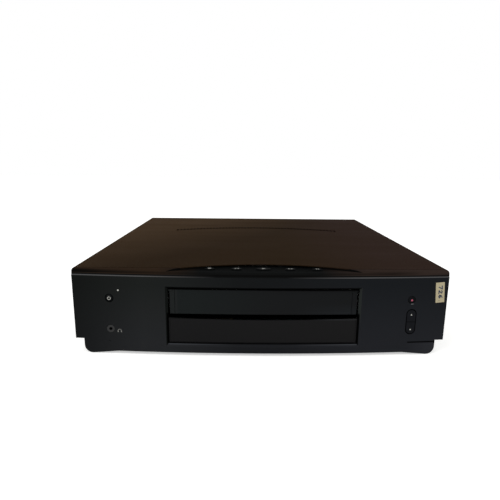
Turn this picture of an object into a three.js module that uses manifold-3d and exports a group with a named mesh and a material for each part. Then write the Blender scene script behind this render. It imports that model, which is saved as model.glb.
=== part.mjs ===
// Front-loading video cassette recorder: a low cabinet with a bowed front.
// Millimetres, +Z up, the front looks towards -Y and the feet stand on z = 0.
import * as THREE from "three";
import { mergeVertices } from "three/addons/utils/BufferGeometryUtils.js";
import Module from "manifold-3d";

const wasm = await Module();
wasm.setup();

// Cabinet
const cabinetWidth = 380;
const cabinetDepth = 374;
const cabinetHeight = 89.8;
const cornerRadius = 3;
const sheet = 0.8;
const bezelBow = 8.8;
const bezelDepth = 12;
const bezelWall = 3;
const bezelRise = 3;
const shoulderDrop = 6.6;
const rebate = 3;

// Fits
const gap = 0.3;
const over = 1;
const meld = 0.4;

// Standard cassette and the way in for it
const cassetteWidth = 187;
const cassetteHeight = 25;
const cassettePlay = 1.4;
const windowX = 2.4;
const windowPlay = 5;
const windowRise = 9.5;
const windowBevel = 2.4;
const displayHeight = 24.6;
const displaySag = 1.9;
const slotHeight = 5.9;
const flapHeight = 26;
const flapPlay = 1.8;
const panelRecess = 2.5;
const panelThickness = 2;

// Derived levels of the cabinet
const half = cabinetWidth / 2;
const shoulderZ = cabinetHeight - shoulderDrop;
const windowWidth = cassetteWidth + windowPlay;
const windowLeft = windowX - windowWidth / 2;
const windowRight = windowX + windowWidth / 2;
const windowLow = bezelRise + windowRise;
const displayLow = windowLow + sheet;
const displayHigh = displayLow + displayHeight;
const flapLow = displayHigh + slotHeight;
const flapHigh = flapLow + flapHeight;
const windowHigh = flapHigh + sheet;
const cassetteFloor = displayHigh + sheet;
const frontAt = (x) => -bezelBow * (1 - (x / half) ** 2);

// Solids by extruding, turning and lofting
function solidOf(geometry) {
  const bare = geometry.clone();
  bare.deleteAttribute("normal");
  bare.deleteAttribute("uv");
  const merged = mergeVertices(bare);
  return new wasm.Manifold(
    new wasm.Mesh({
      numProp: 3,
      vertProperties: merged.attributes.position.array,
      triVerts: new Uint32Array(merged.index.array),
    }),
  );
}

const axisX = new THREE.Vector3(1, 0, 0);
const axisY = new THREE.Vector3(0, 1, 0);
const axisZ = new THREE.Vector3(0, 0, 1);
const roundSteps = 6;
const fineSteps = 7;
const cornerSteps = 3;
const smallSteps = 3;
const slotSteps = 1;
const turnSteps = 14;
const drumSteps = 24;

function block([x0, x1], [y0, y1], [z0, z1]) {
  const box = new THREE.BoxGeometry(x1 - x0, y1 - y0, z1 - z0);
  return solidOf(box.translate((x0 + x1) / 2, (y0 + y1) / 2, (z0 + z1) / 2));
}

// An outline in X and Y, extruded from z0 to z1
function slab(outline, z0, z1, steps = roundSteps) {
  const options = { depth: z1 - z0, bevelEnabled: false, curveSegments: steps };
  return solidOf(new THREE.ExtrudeGeometry(outline, options).translate(0, 0, z0));
}

// An outline in X and Z, extruded from y0 to y1
function slice(outline, y0, y1, steps = roundSteps) {
  const options = { depth: y1 - y0, bevelEnabled: false, curveSegments: steps };
  const turn = new THREE.Matrix4().makeBasis(axisX, axisZ, axisY.clone().negate());
  return solidOf(new THREE.ExtrudeGeometry(outline, options).applyMatrix4(turn).translate(0, y1, 0));
}

// An outline in Y and Z, extruded from x0 to x1
function rib(outline, x0, x1, steps = roundSteps) {
  const options = { depth: x1 - x0, bevelEnabled: false, curveSegments: steps };
  const turn = new THREE.Matrix4().makeBasis(axisY, axisZ, axisX);
  return solidOf(new THREE.ExtrudeGeometry(outline, options).applyMatrix4(turn).translate(x0, 0, 0));
}

function disc(a, b, radius) {
  const outline = new THREE.Shape();
  outline.absarc(a, b, radius, 0, 2 * Math.PI);
  return outline;
}

function rect(a0, a1, b0, b1) {
  return polygon([[a0, b0], [a1, b0], [a1, b1], [a0, b1]]);
}

function polygon(points) {
  return new THREE.Shape(points.map(([a, b]) => new THREE.Vector2(a, b)));
}

// A stadium, long along its second axis when b1 - b0 is the longer side
function stadium(a0, a1, b0, b1) {
  const outline = new THREE.Shape();
  const radius = Math.min(a1 - a0, b1 - b0) / 2;
  outline.absarc(a1 - radius, b1 - radius, radius, 0, Math.PI / 2);
  outline.absarc(a0 + radius, b1 - radius, radius, Math.PI / 2, Math.PI);
  outline.absarc(a0 + radius, b0 + radius, radius, Math.PI, 1.5 * Math.PI);
  outline.absarc(a1 - radius, b0 + radius, radius, 1.5 * Math.PI, 2 * Math.PI);
  return outline;
}

// A solid of revolution about Z, from [radius, height] points that start and end on the axis
function turned(profile, steps = turnSteps) {
  const points = profile.map(([r, z]) => new THREE.Vector2(r, z));
  return solidOf(new THREE.LatheGeometry(points, steps).rotateX(Math.PI / 2));
}

// A solid lofted along X: every station has the same number of [y, z] points, anticlockwise from +X
function loft(stations, outlineAt) {
  const rings = stations.map((x) => outlineAt(x));
  const count = rings[0].length;
  const positions = rings.flatMap((ring, i) => ring.flatMap(([y, z]) => [stations[i], y, z]));
  const faces = [];
  for (let i = 0; i + 1 < rings.length; i += 1) {
    for (let j = 0; j < count; j += 1) {
      const next = (j + 1) % count;
      const [a, b] = [i * count + j, i * count + next];
      faces.push(a, b, b + count, a, b + count, a + count);
    }
  }
  const last = (rings.length - 1) * count;
  const flat = (ring) => ring.map(([y, z]) => new THREE.Vector2(y, z));
  const capOf = (ring) => THREE.ShapeUtils.triangulateShape(flat(ring), []);
  capOf(rings[0]).forEach(([a, b, c]) => faces.push(a, c, b));
  capOf(rings[rings.length - 1]).forEach(([a, b, c]) => faces.push(last + a, last + b, last + c));
  const geometry = new THREE.BufferGeometry();
  geometry.setAttribute("position", new THREE.Float32BufferAttribute(positions, 3));
  return solidOf(geometry.setIndex(faces));
}

const bowSpans = 12;

function spread(x0, x1, spans = bowSpans) {
  return Array.from({ length: spans + 1 }, (_, i) => x0 + ((x1 - x0) * i) / spans);
}

// A strip of sheet metal folded along a line of points, its thickness to the left of the line
function folded(points, thickness) {
  const line = points.map(([a, b]) => new THREE.Vector2(a, b));
  const sideOf = (i) => {
    const run = line[i + 1].clone().sub(line[i]).normalize();
    return new THREE.Vector2(-run.y, run.x);
  };
  const inner = line.map((point, i) => {
    const before = sideOf(Math.max(i - 1, 0));
    const after = sideOf(Math.min(i, line.length - 2));
    const mitre = before.clone().add(after);
    return point.clone().addScaledVector(mitre, (2 * thickness) / mitre.lengthSq());
  });
  return new THREE.Shape([...line, ...inner.reverse()]);
}

// A gear outline with straight flanks: teeth start at the phase, which is a share of one pitch
const addendumShare = 0.8;
const dedendumShare = 1.15;
const toothShares = [-0.34, -0.13, 0.13, 0.34];

function gearOutline(teeth, module, phaseShare = 0) {
  const pitch = (teeth * module) / 2;
  const [root, tip] = [pitch - dedendumShare * module, pitch + addendumShare * module];
  const points = [];
  for (let tooth = 0; tooth < teeth; tooth += 1) {
    toothShares.forEach((share, i) => {
      const angle = ((tooth + phaseShare + share) * 2 * Math.PI) / teeth;
      const radius = i === 0 || i === toothShares.length - 1 ? root : tip;
      points.push([radius * Math.cos(angle), radius * Math.sin(angle)]);
    });
  }
  return polygon(points);
}

const joined = (solids) => solids.reduce((sum, solid) => sum.add(solid));
const cutBy = (solid, cutters) => cutters.reduce((rest, cutter) => rest.subtract(cutter), solid);

// Finishes
const finish = (color, roughness, metalness = 0) => ({ color, roughness, metalness });
const blackSheet = finish(0x33291f, 0.42, 0.2);
const blackPlastic = finish(0x202224, 0.45);
const gloss = finish(0x161719, 0.15);
const darkButton = finish(0x0c0d0e, 0.4);
const steel = finish(0x9a9c9e, 0.4, 0.9);
const polished = finish(0xc8cacc, 0.15, 1);
const greyPlastic = finish(0x55575a, 0.55);
const whitePlastic = finish(0xd8d6cc, 0.5);
const rubber = finish(0x151515, 0.9);
const circuit = finish(0x7a6a35, 0.6);
const brass = finish(0xb08d4a, 0.3, 1);
const clearGlass = finish(0x1d2b2a, 0.08);

const recorder = new THREE.Group();
recorder.name = "video_cassette_recorder";

function part(name, solid, look, parent = recorder) {
  const mesh = solid.getMesh();
  const geometry = new THREE.BufferGeometry();
  geometry.setAttribute("position", new THREE.Float32BufferAttribute(mesh.vertProperties, 3));
  geometry.setIndex(new THREE.Uint32BufferAttribute(mesh.triVerts, 1));
  geometry.computeVertexNormals();
  const made = new THREE.Mesh(geometry, new THREE.MeshStandardMaterial(look));
  made.name = name;
  parent.add(made);
  return made;
}

function frameAt(x, y, z, parent = recorder) {
  const group = new THREE.Group();
  group.position.set(x, y, z);
  parent.add(group);
  return group;
}

// Front bezel: its outline from the front, with the cabinet's step and the two foot blocks
const stepHeight = 15.5;
const stepInset = 8.8;
const stepX = half - stepInset;
const blockWidth = 35.2;
const blockSlope = 26;
const blockStartX = stepX - blockWidth;
const blockEndX = blockStartX + blockSlope;
const blockClearance = 0.2;
const blockRadius = 8;

function bezelOutline(inset) {
  const side = half - inset;
  const top = cabinetHeight - inset;
  const outline = new THREE.Shape();
  outline.moveTo(-blockStartX, bezelRise);
  outline.lineTo(blockStartX, bezelRise);
  outline.lineTo(blockEndX, blockClearance);
  outline.absarc(stepX - blockRadius, blockClearance + blockRadius, blockRadius, -Math.PI / 2, 0);
  outline.lineTo(stepX, stepHeight);
  outline.lineTo(side, stepHeight);
  outline.absarc(side - cornerRadius, top - cornerRadius, cornerRadius, 0, Math.PI / 2);
  outline.absarc(cornerRadius - side, top - cornerRadius, cornerRadius, Math.PI / 2, Math.PI);
  outline.lineTo(-side, stepHeight);
  outline.lineTo(-stepX, stepHeight);
  outline.absarc(blockRadius - stepX, blockClearance + blockRadius, blockRadius, Math.PI, 1.5 * Math.PI);
  outline.lineTo(-blockEndX, blockClearance);
  return outline;
}

// The shoulder rolls from the cover's edge down to the front's upper edge
const edgeRound = 0.6;
const shoulderShare = 0.4;
const shoulderSteps = 5;
const topInset = 0.2;

function noseOutlineAt(x) {
  const front = frontAt(x);
  const top = cabinetHeight - topInset;
  const start = new THREE.Vector2(rebate, top);
  const bend = new THREE.Vector2(front + shoulderShare * (rebate - front), top);
  const end = new THREE.Vector2(front + edgeRound, shoulderZ);
  const roll = new THREE.QuadraticBezierCurve(start, bend, end).getPoints(shoulderSteps);
  return [
    [front, -over],
    [rebate, -over],
    ...roll.map((point) => [point.x, point.y]),
    [front, shoulderZ - edgeRound],
  ];
}

// The cover's front edge bows back in an arc, and the bezel's shelf with the buttons shows in it
const lensX = 3;
const lensHalfWidth = 90;
const lensFrontY = 1;
const lensBackY = 20;
const lensSag = lensBackY - lensFrontY;
const lensRadius = (lensHalfWidth ** 2 + lensSag ** 2) / (2 * lensSag);
const lensCentreY = lensBackY - lensRadius;
const lensSteps = 16;
const shelfDrop = 2.5;
const shelfThickness = 2;
const shelfLip = 3;
const shelfZ = cabinetHeight - shelfDrop;

function lensOutline(grow) {
  const radius = lensRadius + grow;
  const reach = Math.acos((-bezelBow - over - lensCentreY) / radius);
  const outline = new THREE.Shape();
  outline.absarc(lensX, lensCentreY, radius, Math.PI / 2 - reach, Math.PI / 2 + reach);
  return outline;
}

// Places of the controls on the front and on the shelf
const keyPitch = 27.5;
const keyY = 8;
const keyWidth = 11;
const keyLength = 8;
const playScale = 1.4;
const keyNames = ["stop_button", "rewind_button", "play_button", "forward_button", "pause_button"];
const clusterInset = 37.4;
const clusterX = half - clusterInset;
const clusterZ = 59.6;
const roundButton = 3.95;
const rockerInset = 36.5;
const rockerX = half - rockerInset;
const rockerZ = 36.2;
const rockerWidth = 8.6;
const rockerHeight = 25.2;
const rockerGap = 0.85;
const jackZ = 27;
const jackRadius = 4;
const jackBore = 1.75;
const keyTravel = 1;
const rockerPinRadius = 1;
const rockerPinReach = 1.5;
const rockerEar = 2.4;
const hingePinRadius = 1.2;
const hingeEar = 3.4;
const pinReach = 9;
const springWire = 0.5;
const springTurns = 3;
const springPitch = 0.8;
const springRadius = hingePinRadius + gap + springWire;
const springRoom = springTurns * springPitch + 2 * gap + 2 * springWire;
const hingeLug = 1.8;
const hingeDrop = 1.3;
const hingeInset = 0.6;
const hingeY = frontAt(windowWidth / 2) + bezelWall + hingeInset;
const hingeZ = flapHigh - hingeDrop;
const bossRadius = 2.5;
const keyBoardDrop = 6.5;
const keyBoardZ = shelfZ - shelfThickness - keyBoardDrop;
const boardThickness = 1.6;
const grooveLength = 28.4;
const grooveStartX = stepX - grooveLength;
const grooveZ = 13.5;
const grooveWidth = 0.8;
const grooveDepth = 0.7;
const keyRowHalf = (keyNames.length * keyPitch) / 2;
const keyXs = keyNames.map((_, i) => windowX + (i - (keyNames.length - 1) / 2) * keyPitch);
const keyScaleOf = (name) => (name === "play_button" ? playScale : 1);

// Rim of the display window behind the front wall, and the slot's floor behind the rim
const rimNear = bezelWall + gap;
const rimThickness = 1.2;
const rimReach = 2;
const sillReach = 7.7;
const sillBackY = 26;
const sillThickness = 1.4;

function keyOutline(name, x, y, grow) {
  const outline = new THREE.Shape();
  const width = (keyWidth * keyScaleOf(name)) / 2 + grow;
  outline.absellipse(x, y, width, keyLength / 2 + grow, 0, 2 * Math.PI);
  return outline;
}

function frontBezel() {
  const nose = loft(spread(-half, half), noseOutlineAt).intersect(
    slice(bezelOutline(0), -bezelBow - over, rebate + over, cornerSteps),
  );
  const skirt = slice(bezelOutline(sheet + gap), rebate - meld, bezelDepth, cornerSteps);
  const shelfHigh = cabinetHeight - sheet - gap;
  const shelf = slab(lensOutline(shelfLip), shelfZ - shelfThickness, shelfZ).subtract(
    block([-half, half], [-bezelBow - over, rebate - meld], [0, cabinetHeight]),
  );
  const cavityTop = shelfZ - shelfThickness;
  const cavity = loft(spread(-half, half), (x) => [
    [frontAt(x) + bezelWall, bezelRise],
    [bezelDepth + over, bezelRise],
    [bezelDepth + over, cavityTop],
    [frontAt(x) + bezelWall + rebate - edgeRound, cavityTop],
    [frontAt(x) + bezelWall, shoulderZ - edgeRound],
  ]);
  const inner = half - bezelWall - sheet;
  const low = blockStartX - bezelWall;
  const hollow = polygon([
    [-low, bezelRise + bezelWall],
    [low, bezelRise + bezelWall],
    [low, stepHeight + bezelWall],
    [inner, stepHeight + bezelWall],
    [inner, shelfHigh],
    [-inner, shelfHigh],
    [-inner, stepHeight + bezelWall],
    [-low, stepHeight + bezelWall],
  ]);
  const shell = joined([nose, skirt]).subtract(
    cavity.intersect(slice(hollow, -bezelBow - over, bezelDepth + over)),
  );
  const pocket = slab(lensOutline(0), shelfZ, cabinetHeight + over, lensSteps);
  const body = joined([shell, shelf, slotSill(), ...frontBosses()]).subtract(pocket);
  return cutBy(body, [windowCutter(), ...hingeCutters(), ...controlCutters(), ...grooveCutters()]);
}

// The cassette window: a bevelled frame whose mitres follow the bow, and a straight way through
function windowCutter() {
  const bevelAt = (x) => {
    const fromEnd = Math.min(x - windowLeft, windowRight - x) + windowBevel;
    return Math.max(Math.min(fromEnd, windowBevel), meld - over);
  };
  const ends = [-over, 0, windowBevel];
  const stations = [
    ...ends.map((step) => windowLeft - windowBevel + step),
    ...spread(windowLeft, windowRight).slice(1, -1),
    ...ends.map((step) => windowRight + windowBevel - step).reverse(),
  ];
  const frame = loft(stations, (x) => {
    const [front, depth] = [frontAt(x), bevelAt(x)];
    return [
      [front - over, windowLow - windowBevel - over],
      [front + depth, windowLow - windowBevel + depth],
      [front + depth, windowHigh + windowBevel - depth],
      [front - over, windowHigh + windowBevel + over],
    ];
  });
  const way = block([windowLeft, windowRight], [-bezelBow - over, bezelWall], [windowLow, windowHigh]);
  return frame.add(way);
}

// The slot's floor under the flap: a plate on two legs that stand on the front wall beside the rim
function slotSill() {
  const [inner, outer] = [windowWidth / 2 + rimReach + gap, windowWidth / 2 + sillReach];
  const frontY = frontAt(windowRight + rimReach) + rimNear + rimThickness + gap;
  const zs = [displayHigh - sillThickness, displayHigh];
  const plate = block([windowX - outer, windowX + outer], [frontY, sillBackY], zs);
  const legs = [-1, 1].map((side) => {
    const xs = [windowX + side * inner, windowX + side * outer].sort((a, b) => a - b);
    return block(xs, [frontAt(windowX + side * inner) + bezelWall - meld, frontY + meld], zs);
  });
  return joined([plate, ...legs]);
}

// Ears for the flap's pins and the rocker's pins, and bosses that carry the key board
function frontBosses() {
  const solids = [];
  for (const side of [-1, 1]) {
    const inner = windowX + (side * windowWidth) / 2;
    const outer = inner + side * hingeEar;
    const ear = block(
      [Math.min(inner, outer), Math.max(inner, outer)],
      [frontAt(outer) + bezelWall - meld, hingeY + hingeEar],
      [hingeZ - hingeEar, hingeZ + hingeEar],
    );
    solids.push(ear);
    const boss = disc(windowX + side * keyRowHalf, bezelDepth, bossRadius);
    solids.push(slab(boss, keyBoardZ + boardThickness + gap, shelfZ - meld));
    const pivotX = rockerX + side * (rockerWidth / 2 + gap + rockerPinReach);
    const pivot = block(
      [pivotX - rockerPinReach / 2, pivotX + rockerPinReach],
      [frontAt(pivotX) + bezelWall - meld, rockerPinY + rockerEar],
      [rockerZ - rockerEar, rockerZ + rockerEar],
    );
    const hole = disc(rockerPinY, rockerZ, rockerPinRadius + gap);
    const bore = rib(hole, pivotX - rockerEar, pivotX + rockerEar);
    solids.push(pivot.subtract(bore));
  }
  return solids;
}

const rockerPinY = frontAt(rockerX) + bezelWall + rockerEar;

// Bearings for the flap's pins, with a relief in the wall for the spring on the left one
function hingeCutters() {
  const bores = [-1, 1].map((side) => {
    const inner = windowX + (side * windowWidth) / 2;
    const xs = [inner - side * over, inner + side * pinReach].sort((a, b) => a - b);
    return rib(disc(hingeY, hingeZ, hingePinRadius + gap), ...xs);
  });
  const relief = springRadius + springWire + gap;
  const room = windowLeft - hingeEar;
  return [...bores, rib(disc(hingeY, hingeZ, relief), room - springRoom, room)];
}

function controlCutters() {
  const cutters = keyNames.map((name, i) =>
    slab(keyOutline(name, keyXs[i], keyY, gap), shelfZ - shelfThickness - over, cabinetHeight, fineSteps),
  );
  for (const x of [-clusterX, clusterX]) {
    cutters.push(slice(disc(x, clusterZ, roundButton + gap), -bezelBow, bezelDepth + over));
  }
  cutters.push(slice(disc(-clusterX, jackZ, jackRadius + gap), -bezelBow, bezelDepth + over));
  cutters.push(slice(rockerOutline(rockerGap), -bezelBow, rockerPinY - rockerPinRadius));
  return cutters;
}

function rockerOutline(grow) {
  const [width, height] = [rockerWidth / 2 + grow, rockerHeight / 2 + grow];
  return stadium(rockerX - width, rockerX + width, rockerZ - height, rockerZ + height);
}

// The seam over each foot block
function grooveCutters() {
  return [-1, 1].map((side) => {
    const xs = [side * grooveStartX, side * (stepX + over)].sort((a, b) => a - b);
    return block(xs, [-bezelBow, frontAt(grooveStartX) + grooveDepth], [grooveZ, grooveZ + grooveWidth]);
  });
}

part("front_bezel", frontBezel(), blackPlastic);

// Top cover: bent sheet, its front edge cut back to the lens, one slot row on an arc
const ventCount = 50;
const ventPitch = 4.93;
const ventX = 0.7;
const ventLength = 12;
const ventWidth = 2.6;
const ventInset = 110.5;
const ventBackY = cabinetDepth - ventInset;
const ventRadius = 294.5;

function topCover() {
  const side = (inset) => {
    const outline = new THREE.Shape();
    const [edge, top, radius] = [half - inset, cabinetHeight - inset, cornerRadius - inset];
    outline.moveTo(-edge, stepHeight);
    outline.lineTo(edge, stepHeight);
    outline.absarc(edge - radius, top - radius, radius, 0, Math.PI / 2);
    outline.absarc(radius - edge, top - radius, radius, Math.PI / 2, Math.PI);
    return outline;
  };
  const under = block([sheet - half, half - sheet], [0, cabinetDepth + over], [0, stepHeight + over]);
  const hollow = slice(side(sheet), 0, cabinetDepth + over, cornerSteps).add(under);
  const shell = slice(side(0), rebate + gap, cabinetDepth, cornerSteps).subtract(hollow);
  const lens = slab(lensOutline(gap), cabinetHeight - cornerRadius, cabinetHeight + over, lensSteps);
  const vents = Array.from({ length: ventCount }, (_, i) => {
    const x = ventX + (i - (ventCount - 1) / 2) * ventPitch;
    const y = ventBackY - ventRadius + Math.sqrt(ventRadius ** 2 - (x - ventX) ** 2);
    return block(
      [x - ventWidth / 2, x + ventWidth / 2],
      [y - ventLength / 2, y + ventLength / 2],
      [cabinetHeight - sheet - over, cabinetHeight + over],
    );
  });
  return cutBy(shell, [lens, joined(vents), ...screwCutters()]);
}

// Cover screws, one in the middle of each side
const screwInset = 74;
const screwY = cabinetDepth - screwInset;
const screwRise = 12;
const screwShank = 1.5;
const screwHead = 4;
const screwHeadHeight = 1.2;
const screwLength = 6;
const driveWidth = 1;
const driveShare = 0.6;
const lipHeight = 22;

function screwCutters() {
  const hole = disc(screwY, stepHeight + screwRise, screwShank + gap);
  return [rib(hole, -half - over, half + over)];
}

part("top_cover", topCover(), blackSheet);

// Bottom pan: a stepped tray whose lips stand inside the cover, with posts for the boards and the deck
const panRise = 3.4;
const panTop = panRise + sheet;
const lipX = half - sheet - gap;
const deckX = windowX;
const deckMargin = 11.5;
const deckHalf = cassetteWidth / 2 + deckMargin;
const deckFrontY = 30;
const deckBackY = 225;
const deckThickness = 1.2;
const deckLow = 15;
const deckTop = deckLow + deckThickness;
const postRadius = 4;
const postInset = 8;
const boardRise = 8;
const boardSideInset = 18;
const boardSpace = 7;
const boardBackInset = 8;
const boardHalf = half - boardSideInset;
const boardFrontY = deckBackY + boardSpace;
const boardBackY = cabinetDepth - boardBackInset;
const floorVentCount = 8;
const floorVentPitch = 12;
const floorVentLength = 40;
const floorVentWidth = 3;
const floorVentInset = 100;
const floorVentX = half - floorVentInset;
const floorVentY = (boardFrontY + boardBackY) / 2;

function cornersOf(x0, x1, y0, y1, inset) {
  return [x0 + inset, x1 - inset].flatMap((x) => [y0 + inset, y1 - inset].map((y) => [x, y]));
}

function bottomPan() {
  const floorX = stepX - gap;
  const line = [
    [-lipX, stepHeight + lipHeight],
    [-lipX, stepHeight - sheet - gap],
    [-floorX, stepHeight - sheet - gap],
    [-floorX, panRise],
    [floorX, panRise],
    [floorX, stepHeight - sheet - gap],
    [lipX, stepHeight - sheet - gap],
    [lipX, stepHeight + lipHeight],
  ];
  const tray = slice(folded(line, sheet), bezelDepth + gap, cabinetDepth - sheet);
  const deckPosts = cornersOf(deckX - deckHalf, deckX + deckHalf, deckFrontY, deckBackY, postInset).map(
    ([x, y]) => slab(disc(x, y, postRadius), panTop - meld, deckLow - gap, smallSteps),
  );
  const boardPosts = cornersOf(-boardHalf, boardHalf, boardFrontY, boardBackY, postInset).map(([x, y]) =>
    slab(disc(x, y, postRadius), panTop - meld, boardRise - gap, smallSteps),
  );
  const vents = [-1, 1].flatMap((side) =>
    Array.from({ length: floorVentCount }, (_, i) => {
      const x = side * floorVentX + (i - (floorVentCount - 1) / 2) * floorVentPitch;
      return block(
        [x - floorVentWidth / 2, x + floorVentWidth / 2],
        [floorVentY - floorVentLength / 2, floorVentY + floorVentLength / 2],
        [panRise - over, panTop + over],
      );
    }),
  );
  return cutBy(joined([tray, ...deckPosts, ...boardPosts]), [...vents, ...screwCutters()]);
}

part("bottom_pan", bottomPan(), blackSheet);

function coverScrew() {
  const shank = turned([[0, -screwLength], [screwShank, gap - screwLength], [screwShank, 0],
    [screwHead, 0], [screwHead - gap, screwHeadHeight], [0, screwHeadHeight]]);
  const slot = (a, b) => block([-a, a], [-b, b], [screwHeadHeight / 2, screwHeadHeight + over]);
  const arm = screwHead * driveShare;
  return cutBy(shank, [slot(arm, driveWidth / 2), slot(driveWidth / 2, arm)]);
}

for (const [name, side] of [["cover_screw_left", -1], ["cover_screw_right", 1]]) {
  const seat = frameAt(side * (half + gap), screwY, stepHeight + screwRise);
  seat.rotation.y = (side * Math.PI) / 2;
  part(name, coverScrew(), steel, seat);
}

// Feet: turned rubber-tipped discs under the pan
const footRadius = 12;
const footSideInset = 40;
const footX = half - footSideInset;
const footFrontY = 45;
const footRearInset = 38;
const footDish = 1;

function foot() {
  const top = panRise - gap;
  return turned([[0, 0], [footRadius - footDish, 0], [footRadius, footDish], [footRadius, top], [0, top]]);
}

for (const [row, y] of [["front", footFrontY], ["rear", cabinetDepth - footRearInset]]) {
  for (const [side, x] of [["left", -footX], ["right", footX]]) {
    part(`foot_${row}_${side}`, foot(), rubber, frameAt(x, y, 0));
  }
}

// Cassette flap: a bowed panel hung from two pins at its upper edge
const flapHalf = windowWidth / 2 - flapPlay;
const flapLug = 3;
const flapLineInset = 5;
const flapLineWidth = 0.5;

// A bowed panel in the window: its front near and its back far behind the bezel's face
function bowedPanel(reach, low, highAt, near, far) {
  return loft(spread(windowX - reach, windowX + reach), (x) => [
    [frontAt(x) + near, low + edgeRound],
    [frontAt(x) + near + edgeRound, low],
    [frontAt(x) + far, low],
    [frontAt(x) + far, highAt(x)],
    [frontAt(x) + near + edgeRound, highAt(x)],
    [frontAt(x) + near, highAt(x) - edgeRound],
  ]);
}

function cassetteFlap() {
  const panel = bowedPanel(flapHalf, flapLow, () => flapHigh, panelRecess, panelRecess + panelThickness);
  const solids = [panel];
  for (const side of [-1, 1]) {
    const outer = windowX + side * flapHalf;
    const xs = [outer, outer - side * flapLug].sort((a, b) => a - b);
    solids.push(rib(disc(hingeY, hingeZ, hingeLug), ...xs));
    const pin = [outer - side * meld, outer + side * pinReach].sort((a, b) => a - b);
    solids.push(rib(disc(hingeY, hingeZ, hingePinRadius), ...pin));
  }
  const lines = [-1, 1].map((side) => {
    const x = windowX + side * (flapHalf - flapLineInset);
    const depth = frontAt(x) + panelRecess + flapLineWidth;
    const xs = [x - flapLineWidth / 2, x + flapLineWidth / 2];
    return block(xs, [depth - flapLineWidth - over, depth], [flapLow - over, flapHigh + over]);
  });
  return cutBy(joined(solids), lines);
}

part("cassette_flap", cassetteFlap(), blackPlastic);

// Flap spring: a torsion spring wound on the left pin, outside its ear
const springTurnSteps = 8;
const springSides = 3;

class Helix extends THREE.Curve {
  constructor(radius, pitch, turns) {
    super();
    Object.assign(this, { radius, pitch, turns });
  }

  getPoint(t, target = new THREE.Vector3()) {
    const angle = t * this.turns * 2 * Math.PI;
    const [across, up] = [this.radius * Math.cos(angle), this.radius * Math.sin(angle)];
    return target.set(t * this.turns * this.pitch, across, up);
  }
}

function wireAlong(curve, radius, sides, steps) {
  const outline = new THREE.Shape();
  outline.absarc(0, 0, radius, 0, 2 * Math.PI);
  const options = { steps, extrudePath: curve, curveSegments: sides, bevelEnabled: false };
  return solidOf(new THREE.ExtrudeGeometry(outline, options));
}

const springCurve = new Helix(springRadius, springPitch, springTurns);
const flapSpring = wireAlong(springCurve, springWire / 2, springSides, springTurns * springTurnSteps);
const springStart = windowLeft - hingeEar - gap - springWire - springTurns * springPitch;
part("flap_spring", flapSpring, steel, frameAt(springStart, hingeY, hingeZ));

// Display window: smoked panel under the flap, its upper edge dips in the middle and a rim behind
// the wall holds it
function displayWindow() {
  const highAt = (x) => displayHigh + displaySag * ((x - windowX) / (windowWidth / 2)) ** 2;
  const face = bowedPanel(flapHalf, displayLow, highAt, panelRecess, rimNear + meld);
  const rimBack = rimNear + rimThickness;
  const rim = bowedPanel(windowWidth / 2 + rimReach, windowLow - rimReach, highAt, rimNear, rimBack);
  return face.add(rim);
}

part("display_window", displayWindow(), gloss);

// Control board: upright behind the front, its wings carry the switches beside the window
const controlY = 14;
const controlInset = 14;
const controlHalf = half - controlInset;
const controlLow = 8;
const controlTopInset = 13.8;
const controlHigh = cabinetHeight - controlTopInset;
const controlDip = 2.5;
const switchHeight = 2.5;
const switchSize = 6;
const switchGap = 0.3;

function controlBoard() {
  const dip = cassetteFloor - controlDip;
  const wing = windowWidth / 2 + sillReach + gap;
  const outline = polygon([
    [-controlHalf, stepHeight + bezelWall], [windowX - wing, controlLow], [windowX + wing, controlLow],
    [controlHalf, stepHeight + bezelWall], [controlHalf, controlHigh], [windowX + wing, controlHigh],
    [windowX + wing, dip], [windowX - wing, dip], [windowX - wing, controlHigh], [-controlHalf, controlHigh],
  ]);
  const toggleAt = (x, z) =>
    block(
      [x - switchSize / 2, x + switchSize / 2],
      [controlY - switchHeight, controlY + meld],
      [z - switchSize / 2, z + switchSize / 2],
    );
  const rockerSwitch = rockerHeight / 2 - rockerWidth / 2;
  return joined([
    slice(outline, controlY, controlY + boardThickness),
    toggleAt(-clusterX, clusterZ),
    toggleAt(clusterX, clusterZ),
    toggleAt(rockerX, rockerZ - rockerSwitch),
    toggleAt(rockerX, rockerZ + rockerSwitch),
  ]);
}

part("control_board", controlBoard(), circuit);

const tubeWidth = 96;
const tubeHeight = 20;
const tubeThickness = 6;
const tubeX = 20;
const tubeRise = 5.9;
const tubeLow = controlLow + tubeRise;
const tube = block(
  [tubeX - tubeWidth / 2, tubeX + tubeWidth / 2],
  [controlY - gap - tubeThickness, controlY - gap],
  [tubeLow, tubeLow + tubeHeight],
);
part("display_tube", tube, clearGlass);

// Shelf buttons: an oval cap through the shelf over a wider flange that keeps it in
const keyProud = 1;
const flangeHeight = 1.2;
const flangeGrow = 1.1;

function shelfButton(name) {
  const flangeTop = -shelfThickness - gap;
  const cap = slab(keyOutline(name, 0, 0, 0), flangeTop - meld, keyProud - edgeRound, fineSteps);
  const crown = slab(keyOutline(name, 0, 0, -edgeRound), flangeTop - meld, keyProud, fineSteps);
  const flange = slab(keyOutline(name, 0, 0, flangeGrow), flangeTop - flangeHeight, flangeTop);
  const stem = slab(disc(0, 0, keyLength / 4), flangeTop - flangeHeight - keyProud, flangeTop);
  return joined([cap, crown, flange, stem]);
}

keyNames.forEach((name, i) => part(name, shelfButton(name), darkButton, frameAt(keyXs[i], keyY, shelfZ)));

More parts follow.
